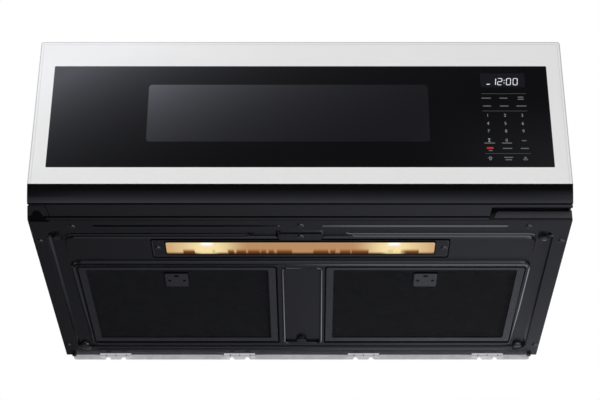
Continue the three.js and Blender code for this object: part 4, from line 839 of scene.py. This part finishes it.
def clock_digits():
    """The clock shows 12:00."""
    def leaning(x, across, up):
        return x + across * CLOCK_WIDE + up * CLOCK_TALL * CLOCK_LEAN, CLOCK_LOW + up * CLOCK_TALL

    marks = []
    for digit, x in CLOCK:
        for name in LIT[digit]:
            start, end = [leaning(x, *place) for place in SEGMENTS[name]]
            marks.append(stroke(start, end, CLOCK_LINE, SEGMENT_GAP))
    marks += [bar(*leaning(COLON_X, 0, share), COLON_DOT, COLON_DOT) for share in (0.3, 0.7)]
    marks.append(bar(*HALF_DAY_BAR))
    print_marks("clock_digits", marks, lit("clock_light", rgb(216, 217, 218), 0.45))


def key_symbols(material):
    """The picture keys: an hourglass, a bulb with rays and a fan with three blades."""
    left, _, right = KEY_COLUMNS
    wide, tall = HOURGLASS_HALF
    marks = [[(left - wide, HOURGLASS_Z + tall * up), (left + wide, HOURGLASS_Z + tall * up),
              (left, HOURGLASS_Z)] for up in (1, -1)]
    marks += arc(left, BULB_Z, 1.5, 0.6)
    marks.append(bar(left, BULB_FOOT_Z, 1.6, 0.7))
    marks += [stroke(polar(left, BULB_Z, 2.4, ray), polar(left, BULB_Z, 3.4, ray), 0.5) for ray in RAYS]
    marks += arc(right, FAN_Z, 0.5, 0.7, steps=8)
    for blade in BLADES:
        marks += arc(*polar(right, FAN_Z, 1.8, blade), 1.1, 0.55, blade - 100, blade + 100, 10)
    print_marks("key_symbols", marks, material)


def key_digits(material):
    """Digits of the number keys, from plain lettering made into a mesh."""
    gathered = bmesh.new()
    for z, digits in KEY_ROWS:
        for x, digit in zip(KEY_COLUMNS, digits):
            if digit == " ":
                continue
            curve = bpy.data.curves.new("digit", "FONT")
            curve.body = digit
            curve.size = DIGIT_SIZE * MM
            curve.offset = DIGIT_THINNER * MM
            curve.align_x = "CENTER"
            curve.extrude = (INK - INK_BED) / 2 * MM
            text = add_object("digit", curve)
            bpy.context.view_layer.update()
            mesh = bpy.data.meshes.new_from_object(text)
            bpy.data.objects.remove(text)
            bpy.data.curves.remove(curve)
            middle = at(x, -(INK + INK_BED) / 2, z - DIGIT_DROP)
            for vertex in mesh.vertices:
                across, up, out = vertex.co
                vertex.co = (across + middle.x, middle.y - out, up + middle.z)
            gathered.from_mesh(mesh)
            bpy.data.meshes.remove(mesh)
    finished("key_digits", gathered, material, "white_glass", DOOR)


# The inks glow a little: painted light
KEY_INK_PAINTED_GLOW = lit("key_ink_painted_glow", rgb(150, 151, 153), 0.05)
clock_digits()
print_marks("key_lines", [bar(LINE_X, z, LINE_WIDTH, LINE_HEIGHT) for z in LINE_Z],
            lit("line_ink_painted_glow", rgb(66, 67, 70), 0.05))
print_marks("key_bars", [bar(x, z, width, BAR_HEIGHT) for x, z, width in KEY_BARS],
            lit("bar_ink_painted_glow", rgb(92, 93, 96), 0.05))
key_symbols(KEY_INK_PAINTED_GLOW)
print_marks("stop_mark", [bar(*STOP_BAR)], lit("stop_ink_painted_glow", rgb(196, 36, 38), 0.1))
key_digits(KEY_INK_PAINTED_GLOW)

# ---- screws and strands

# Screws of the base plate and of the lamp cover: x and y
SCREW_SPOTS = {
    "base_plate": ((320.5, 46.5), (-320.5, 46.5), (0, 44), (371, 88), (-371, 88), (373, 426), (-373, 426)),
    "lamp_cover": ((205.4, 108.5), (-205.4, 108.5), (0, 75.8)),
}
# Sizes given to the trees are in metres
SCREW_SIZES = {"Head Diameter": 0.01, "Head Height": 0.0014, "Recess Width": 0.0013, "Recess Depth": 0.0014}
SCREW_SIDES = 24
# Shares of the head's radius
HEAD_TOP = 0.72
CROSS_LENGTH = 1.1
# How far the cutters stand past the top of a head
CUTTER_PAST = 0.00001
SCREW_SINK = 0.05
FAR_BELOW = -400

WEAVE_FRONT = 176.5
WEAVE_BACK = 402.0
WEAVE_MARGIN = 11.0
WEAVE_DROP = 0.1
WEAVE_PITCH = 0.0054
STRAND_RADIUS = 0.00068
STRAND_SIDES = 3


def vector_of(tree, x, y, z):
    return output(tree, "ShaderNodeCombineXYZ", enumerate((x, y, z)))


def geometry_tree(name, *sizes):
    """Geometry Nodes tree with a mesh in and out and named sizes."""
    inputs = {"Geometry": GEOMETRY, **dict.fromkeys(sizes, FLOAT)}
    return new_group(name, inputs, {"Geometry": GEOMETRY}, "GeometryNodeTree")


def on_points(tree, points, geometry, rotation=(0, 0, 0)):
    feeds = {"Points": points, "Instance": geometry, "Rotation": rotation}
    return output(tree, "GeometryNodeInstanceOnPoints", feeds)


def end_tree(tree, out, geometry, material):
    real = output(tree, "GeometryNodeRealizeInstances", {0: geometry})
    put(out["Geometry"], output(tree, "GeometryNodeSetMaterial", {"Geometry": real, "Material": material}))
    return tree


def screw_tree(material):
    """Pan heads with a cross recess, pointing down, one at each vertex."""
    tree, given, out = geometry_tree("screw_heads", *SCREW_SIZES)
    radius, width, depth = given["Head Diameter"] * 0.5, given["Recess Width"], given["Recess Depth"]
    head = output(tree, "GeometryNodeMeshCone", {
        "Vertices": SCREW_SIDES, "Radius Bottom": radius, "Radius Top": radius * HEAD_TOP,
        "Depth": given["Head Height"]}, "Mesh")
    lift = vector_of(tree, 0.0, 0.0, given["Head Height"] - depth * 0.5 + CUTTER_PAST)
    length = radius * CROSS_LENGTH
    cross = node(tree, "GeometryNodeJoinGeometry")
    for size in ((length, width), (width, length)):
        cube = output(tree, "GeometryNodeMeshCube", {"Size": vector_of(tree, *size, depth)})
        put(cross.inputs[0], output(tree, "GeometryNodeTransform", {"Geometry": cube, "Translation": lift}))
    cut = output(tree, "GeometryNodeMeshBoolean", {"Mesh 1": head, "Mesh 2": cross.outputs[0]},
                 operation="DIFFERENCE")
    turned = output(tree, "FunctionNodeAlignRotationToVector", {"Vector": DOWN})
    heads = on_points(tree, given["Geometry"], cut, turned)
    return end_tree(tree, out, heads, material)


def strand_tree(material):
    """Zigzag strands side by side: a sheet of expanded metal in the x and y directions."""
    tree, given, out = geometry_tree("expanded_metal", "Width", "Length", "Pitch", "Strand")
    half = given["Pitch"] * 0.5
    odd = output(tree, "GeometryNodeInputIndex") % 2.0

    def line(length, *step):
        """Points half a pitch apart."""
        feeds = {"Count": math.floor(length / half) + 1.0, "Offset": vector_of(tree, *step)}
        return output(tree, "GeometryNodeMeshLine", feeds, mode="OFFSET")

    wave = output(tree, "GeometryNodeSetPosition", {
        "Geometry": line(given["Length"], 0.0, half, 0.0),
        "Offset": vector_of(tree, (odd - 0.5) * half, 0.0, 0.0)})
    curve = output(tree, "GeometryNodeMeshToCurve", {0: wave})
    profile = output(tree, "GeometryNodeCurvePrimitiveCircle",
                     {"Resolution": STRAND_SIDES, "Radius": given["Strand"]}, mode="RADIUS")
    strand = output(tree, "GeometryNodeCurveToMesh", {
        "Curve": curve, "Profile Curve": profile, "Fill Caps": True})
    # Every other strand is turned over, so that its bends meet those of its neighbours
    turned = vector_of(tree, 0.0, odd * math.pi, 0.0)
    spread = on_points(tree, line(given["Width"], half, 0.0, 0.0), strand, turned)
    centring = vector_of(tree, given["Width"] * -0.5, given["Length"] * -0.5, 0.0)
    whole = output(tree, "GeometryNodeTransform", {"Geometry": spread, "Translation": centring})
    return end_tree(tree, out, on_points(tree, given["Geometry"], whole), material)


def made_by(tree, name, places, sizes, *look):
    """Run a tree on bare points and keep the result as a plain mesh."""
    mesh = bpy.data.meshes.new(name + "_points")
    mesh.from_pydata(places, [], [])
    carrier = add_object(name + "_points", mesh)
    modifier = carrier.modifiers.new("tree", "NODES")
    modifier.node_group = tree
    for socket in tree.interface.items_tree:
        if socket.in_out == "INPUT" and socket.name in sizes:
            modifier[socket.identifier] = sizes[socket.name]
    bpy.context.view_layer.update()
    graph = bpy.context.evaluated_depsgraph_get()
    plain = bpy.data.meshes.new_from_object(carrier.evaluated_get(graph))
    bpy.data.objects.remove(carrier)
    plain.name = name
    new_piece(name, plain, *look)


def base_screws():
    """Screws under the base plate and the lamp cover, where a line from below meets them."""
    places = []
    for name, spots in SCREW_SPOTS.items():
        solid = bmesh.new()
        solid.from_mesh(frame["nodes"][name].data)
        surface = BVHTree.FromBMesh(solid)
        solid.free()
        for x, y in spots:
            hit = surface.ray_cast(at(x, y, FAR_BELOW), Vector(UP))[0]
            places.append(hit + Vector(UP) * (SCREW_SINK * MM))
    made_by(screw_tree(SCREW_BLACK), "base_screws", places, SCREW_SIZES, SCREW_BLACK, "black_steel")


def filter_strands():
    tree = strand_tree(STRAND_BLACK)
    for side in ("left", "right"):
        x0, x1, _, _, z0, _ = millimetres(side + "_filter_mesh")
        rim_low, rim_high = corners(side + "_filter_frame")
        middle = at((x0 + x1) / 2, (WEAVE_FRONT + WEAVE_BACK) / 2, z0 - WEAVE_DROP)
        sizes = {"Width": rim_high.x - rim_low.x - 2 * WEAVE_MARGIN * MM,
                 "Length": (WEAVE_BACK - WEAVE_FRONT) * MM, "Pitch": WEAVE_PITCH, "Strand": STRAND_RADIUS}
        made_by(tree, side + "_filter_strands", [middle], sizes,
                STRAND_BLACK, "filter_black", side + "_filter")


base_screws()
filter_strands()

# ---- seams and seals, with painted shade in the gaps, and edges with a painted highlight

# Black rubber, also used as painted shade
RUBBER_AND_SHADE = (RUBBER_AND_SHADE_BLACK, "black_plastic")
COVER_FRONT = 86.8
RECESS_Z = 5.1
ISLAND_Z = 2.02
# Way in which a mark of painted shade is thick, and how far it stands out of the face that it lies on
MARK_THICK = (0, 0, 0.1)
MARK_OUT = 0.03

# Sloping face of the corner cover at the left: y at its foot, and how fast it runs back downwards
CORNER_FOOT = 27.72
CORNER_SLOPE = 12.1 / 17.1
# Painted shade in the hinge notch: a flat black foot and a black sloping face
NOTCH_SHADE_FOOT = (-378.6, -350, 28.7, 33.4)
NOTCH_SHADE_FACE = ((-378.2, 0.1), (-353.5, 0.1), (-358.0, 3.8), (-363.8, 9.4), (-370.8, 9.8), (-375.6, 5.6),
             (-378.2, 4.6))

RIB_STEPS = 8
RIB_POINT = 0.15
BEAD_Y = 45.0
BEAD_X = (28.8, 30.8, 160, 290.0, 292.0)
STEP_Y = 79.0
# Ribs beside the step of the recess: how far behind it, and x where they start
STEP_RIBS = ((-3.6, 64), (3.4, 73))

# Section of the side walls: how far out, and z
WALL_SECTION = ((4.6, -0.04), (3.6, 0.4), (2.2, 1.8), (0.4, 3.6), (-1.0, 4.8), (-2.2, 5.2))
WALL_THICK = (0, 0, 0.3)

DIMPLES = ((346.8, 83.0), (345.6, 430.0))
DIMPLE_RADIUS = 6.8
DIMPLE_HEIGHT = 3.2
DIMPLE_Z = 3.0
DOME_RINGS = 5
DOME_SIDES = 20

# Foot and top of the pad under the lamp cover's tab: half width, front edge, z
SEAT_RIMS = ((35, 58.5, RECESS_Z), (31, 65.0, 1.98))
SEAT_BACK = 89.5
SEAT_CORNER = 4

STRIP_Y = 28.2
STRIP_FACE = ((378.6, 3.4), (378.6, 13.8), (276.6, 13.8), (274.2, 12.2), (270.6, 3.4))

# Height of the black sheet of painted shade above the pull tab's lower face
TAB_SHADE_LIFT = 0.4
# Holes in a pull tab: x from its middle, y, half width, half depth
TAB_HOLES = ((-10.6, 211.5, 1.7, 2.6), (10.6, 211.5, 1.7, 2.6), (0.0, 197.5, 3.4, 2.2))

# Tongues of the wall plate: where they end, where their flat faces start and end, how far apart they
# are at least, and where each is slit
TONGUE_TIP = 456.0
TONGUE_FACE = 458.4
TONGUE_ROOT = 464.7
TONGUE_Z = -1.54
TONGUE_GAP = 60
SLIT_SHARES = (0.2, 0.5, 0.84)
SLIT_HALF = 0.45


def hinge_notch_shade():
    """Black plates painted as the shade in the notch at the left end of the lip, round the lower hinge pin.
    """
    foot = level(rectangle(*NOTCH_SHADE_FOOT), -0.06)
    face = [(x, CORNER_FOOT - z * CORNER_SLOPE, z) for x, z in NOTCH_SHADE_FACE]
    plates("hinge_notch_shade", [(foot, (0, 0, 0.16)), (face, (0, 0.3, 0.2))], *RUBBER_AND_SHADE)


def cover_seams():
    """Black band painted as the shade in the gap round the lamp cover, a grey band painted as the highlight
    on the cover's edge beside it, and the lens gasket.
    """
    x0, x1, _, y1, z, _ = millimetres("lamp_cover")
    y0 = COVER_FRONT
    edge = (x0 + 0.2, x1 - 0.2, y0 + 0.3, y1 - 2.4, 3)
    # Painted shade in the gap round the cover
    band("cover_gap_shade", (x0 - 1.8, x1 + 1.8, y0 - 1.0, y1 + 2.4, 5), edge, z - 0.05, z + 0.15,
         *RUBBER_AND_SHADE)
    band("cover_edge_highlight", edge, (x0 + 0.9, x1 - 0.9, y0 + 0.7, y1 - 3.4, 2.6), z - 0.03, z + 0.1,
         EDGE_HIGHLIGHT_GREY, "black_steel")
    band("lens_gasket", (-LENS_HALF - 1.4, LENS_HALF + 1.4, y0 + 0.9, LENS_BACK + 0.5, 4),
         (-LENS_HALF - 0.1, LENS_HALF + 0.1, LENS_FRONT + 0.7, LENS_BACK + 0.1, 3), z - 0.1, z + 0.1,
         *RUBBER_AND_SHADE)


def ridge(shape, path, width, height, z):
    """Rib with flowing sides under a sheet at z, along a path, with pointed ends."""
    rows = []
    for i, (x, y) in enumerate(path):
        before, after = path[max(i - 1, 0)], path[min(i + 1, len(path) - 1)]
        along = Vector((after[0] - before[0], after[1] - before[1])).normalized()
        share = RIB_POINT if i in (0, len(path) - 1) else 1.0
        section = []
        for k in range(RIB_STEPS + 1):
            way = 1 - 2 * k / RIB_STEPS
            off = way * width / 2 * share
            drop = (1 + math.cos(math.pi * way)) / 2 * height * share
            section.append((x - along.y * off, y + along.x * off, z - drop))
        rows.append(row_of(shape, section))
    skin_over(shape, rows)
    cap(shape, rows)


def press_ribs():
    """Ribs rolled into the base plate along its pressed steps."""
    shape = bmesh.new()
    for side in (-1, 1):
        ridge(shape, mirrored([(x, BEAD_Y) for x in BEAD_X], side), 4.4, 1.3, 0.05)
        for off, start in STEP_RIBS:
            y = STEP_Y + off
            step = [(start, y - 7), (start + 1, y - 3), (start + 4, y - 0.4), (start + 8, y), (200, y)]
            step += bend(323, STEP_Y + 10, 10 - off, -90, 0) + [(333.6 - off, 112), (334.6 - off, 134)]
            ridge(shape, mirrored(step, side), 3.0, 1.0, RECESS_Z)
    island = [(-330, 426), (-333, 300)] + bend(-325.8, 170.6, 8, 180, 270) + [(0, 162.6)]
    island += bend(325.8, 170.6, 8, -90, 0) + [(333, 300), (332, 426)]
    ridge(shape, island, 6.4, 1.3, ISLAND_Z)
    behind_lens = [(-206, 140.4), (-200, 140.6), (0, 140.6), (200, 140.6), (206, 140.4)]
    ridge(shape, behind_lens, 3.0, 1.0, 2.6)
    between_filters = [(1.5, 173.2)] + bend(24, 179.2, 6, -90, 0) + bend(24.6, 417, 6, 0, 90)
    between_filters += bend(-21.2, 417, 6, 90, 180) + bend(-21.2, 179.2, 6, 180, 270) + [(1.3, 173.2)]
    ridge(shape, between_filters, 4.4, 1.0, ISLAND_Z)
    ridge(shape, [(-330, 445), (-326, 446), (0, 446), (326, 446), (330, 445)], 6.4, 1.6, 2.0)
    # In the darker copy of the steel: painted shade
    finished("press_ribs", shape, RIB_SHADED_BLACK, "black_steel")


def side_walls():
    """Sloping walls down both sides of the recess, with a round corner at the front."""
    shape = bmesh.new()
    for side in (-1, 1):
        rows = []
        for out, z in WALL_SECTION:
            line = bend(345, 82, 11 + out, -48, 0) + [(356 + out, 200), (355.4 + out, 418)]
            line += bend(345, 428, 10 + out, 0, 70)
            rows.append(row_of(shape, level(mirrored(line, side), z)))
        rows += [moved(shape, rim, WALL_THICK) for rim in (rows[-1], rows[0])]
        skin_over(shape, rows + rows[:1], closed=False)
        for i in (0, -1):
            shape.faces.new([row[i] for row in rows])
    # In the darker copy of the steel: painted shade
    finished("side_walls", shape, RIB_SHADED_BLACK, "black_steel")


def dome(shape, x, y, radius, height, z):
    """Round boss under a sheet at z."""
    rows = []
    for i in range(DOME_RINGS):
        rise = math.pi / 2 * i / DOME_RINGS
        ring = [polar(x, y, radius * math.cos(rise), 360 * k / DOME_SIDES) for k in range(DOME_SIDES)]
        rows.append(row_of(shape, level(ring, z - height * math.sin(rise))))
    skin_over(shape, rows)
    tip = shape.verts.new(at(x, y, z - height))
    for k in range(DOME_SIDES):
        shape.faces.new((rows[-1][k], rows[-1][(k + 1) % DOME_SIDES], tip))
    shape.faces.new(rows[0][::-1])


def dimple_crowns():
    """Polished crowns of the four corner dimples, in steel painted darker as shade."""
    shape = bmesh.new()
    for x, y in DIMPLES:
        for side in (-1, 1):
            dome(shape, side * x, y, DIMPLE_RADIUS, DIMPLE_HEIGHT, DIMPLE_Z)
    finished("dimple_crowns", shape, RIB_SHADED_BLACK, "black_steel")


def tab_seat():
    """Pad pressed down in the base plate, which the tab of the lamp cover is screwed to."""
    shape = bmesh.new()
    rows = [row_of(shape, level(round_outline(-half, half, front, SEAT_BACK, SEAT_CORNER), z))
            for half, front, z in SEAT_RIMS]
    skin_over(shape, rows)
    cap(shape, rows)
    finished("tab_seat", shape, STEEL_BLACK, "black_steel")


def pocket_strip():
    """Bent strip of the base plate that closes the foot of the finger pocket, in steel painted lighter than
    the plate as light falling on it.
    """
    face = [(x, STRIP_Y, z) for x, z in STRIP_FACE]
    plates("pocket_strip", [(face, (0, 0.6, 0))], STRIP_LIT_GREY, "black_steel")


def tab_shades():
    """Black sheet behind each pull tab painted as its shade, dark marks painted as the shade in its holes,
    and the shade at the filter's rear.
    """
    for side in ("left", "right"):
        x0, x1, y0, y1, z, _ = millimetres(side + "_filter_tab")
        shades = [level(round_outline(x0 - 0.6, x1 + 0.6, y0 - 4.6, y1 - 0.4, 1), z + TAB_SHADE_LIFT)]
        middle = (x0 + x1) / 2
        for x, y, w, h in TAB_HOLES:
            hole = round_outline(x - w, x + w, y - h, y + h, 0.6, 2)
            shades.append([(middle + a, b, z - MARK_OUT) for a, b in hole])
        x0, x1, _, y1, z, _ = millimetres(side + "_filter_frame")
        rear = round_outline(x0 + 0.6, x1 - 0.6, y1 - 3.0, y1 - 0.1, 0.8, 2)
        shades.append(level(rear, z - MARK_OUT))
        plates(side + "_tab_shade", [(shade, MARK_THICK) for shade in shades],
               RUBBER_AND_SHADE_BLACK, "filter_black", side + "_filter")


def filter_seams():
    """Black band painted as the shade in the gap round each filter in the base plate."""
    for side in ("left", "right"):
        x0, x1, y0, y1, _, _ = millimetres(side + "_filter_frame")
        band(side + "_filter_gap_shade", (x0 - 2.2, x1 + 2.6, y0 - 1.7, y1 + 5.4, 4),
             (x0 - 0.4, x1 + 0.4, y0 - 0.4, y1 + 0.4, 3), 1.93, 2.05, *RUBBER_AND_SHADE)


def tongue_spans():
    """Left and right end of each tongue of the wall plate."""
    places = [(v.co - at(0, 0, 0)) / MM for v in frame["nodes"]["mounting_plate"].data.vertices]
    ends = sorted(p.x for p in places if p.y < TONGUE_TIP + 0.5)
    spans = [[ends[0], ends[0]]]
    for x in ends[1:]:
        if x - spans[-1][1] > TONGUE_GAP:
            spans.append([x, x])
        spans[-1][1] = x
    return spans


def tongue_faces():
    """Lower faces of the wall plate's tongues, zinc painted darker as shade behind their bright bent edges,
    and the slits in them, painted black as shade.
    """
    shaded_faces, slits = [], []
    for x0, x1 in tongue_spans():
        face = rectangle(x0 + 0.3, x1 - 0.3, TONGUE_FACE, TONGUE_ROOT)
        shaded_faces.append((level(face, TONGUE_Z), MARK_THICK))
        for x in [x0 + (x1 - x0) * share for share in SLIT_SHARES]:
            slit = rectangle(x - SLIT_HALF, x + SLIT_HALF, TONGUE_FACE - 1, TONGUE_ROOT)
            slits.append((level(slit, TONGUE_Z - 0.04), MARK_THICK))
    plates("tongue_faces", shaded_faces, SHADED_ZINC, "galvanised")
    plates("tongue_slits", slits, *RUBBER_AND_SHADE)


hinge_notch_shade()
cover_seams()
tongue_faces()
tab_seat()
press_ribs()
side_walls()
dimple_crowns()
pocket_strip()
tab_shades()
filter_seams()

bpy.context.scene.view_settings.view_transform = "Standard"
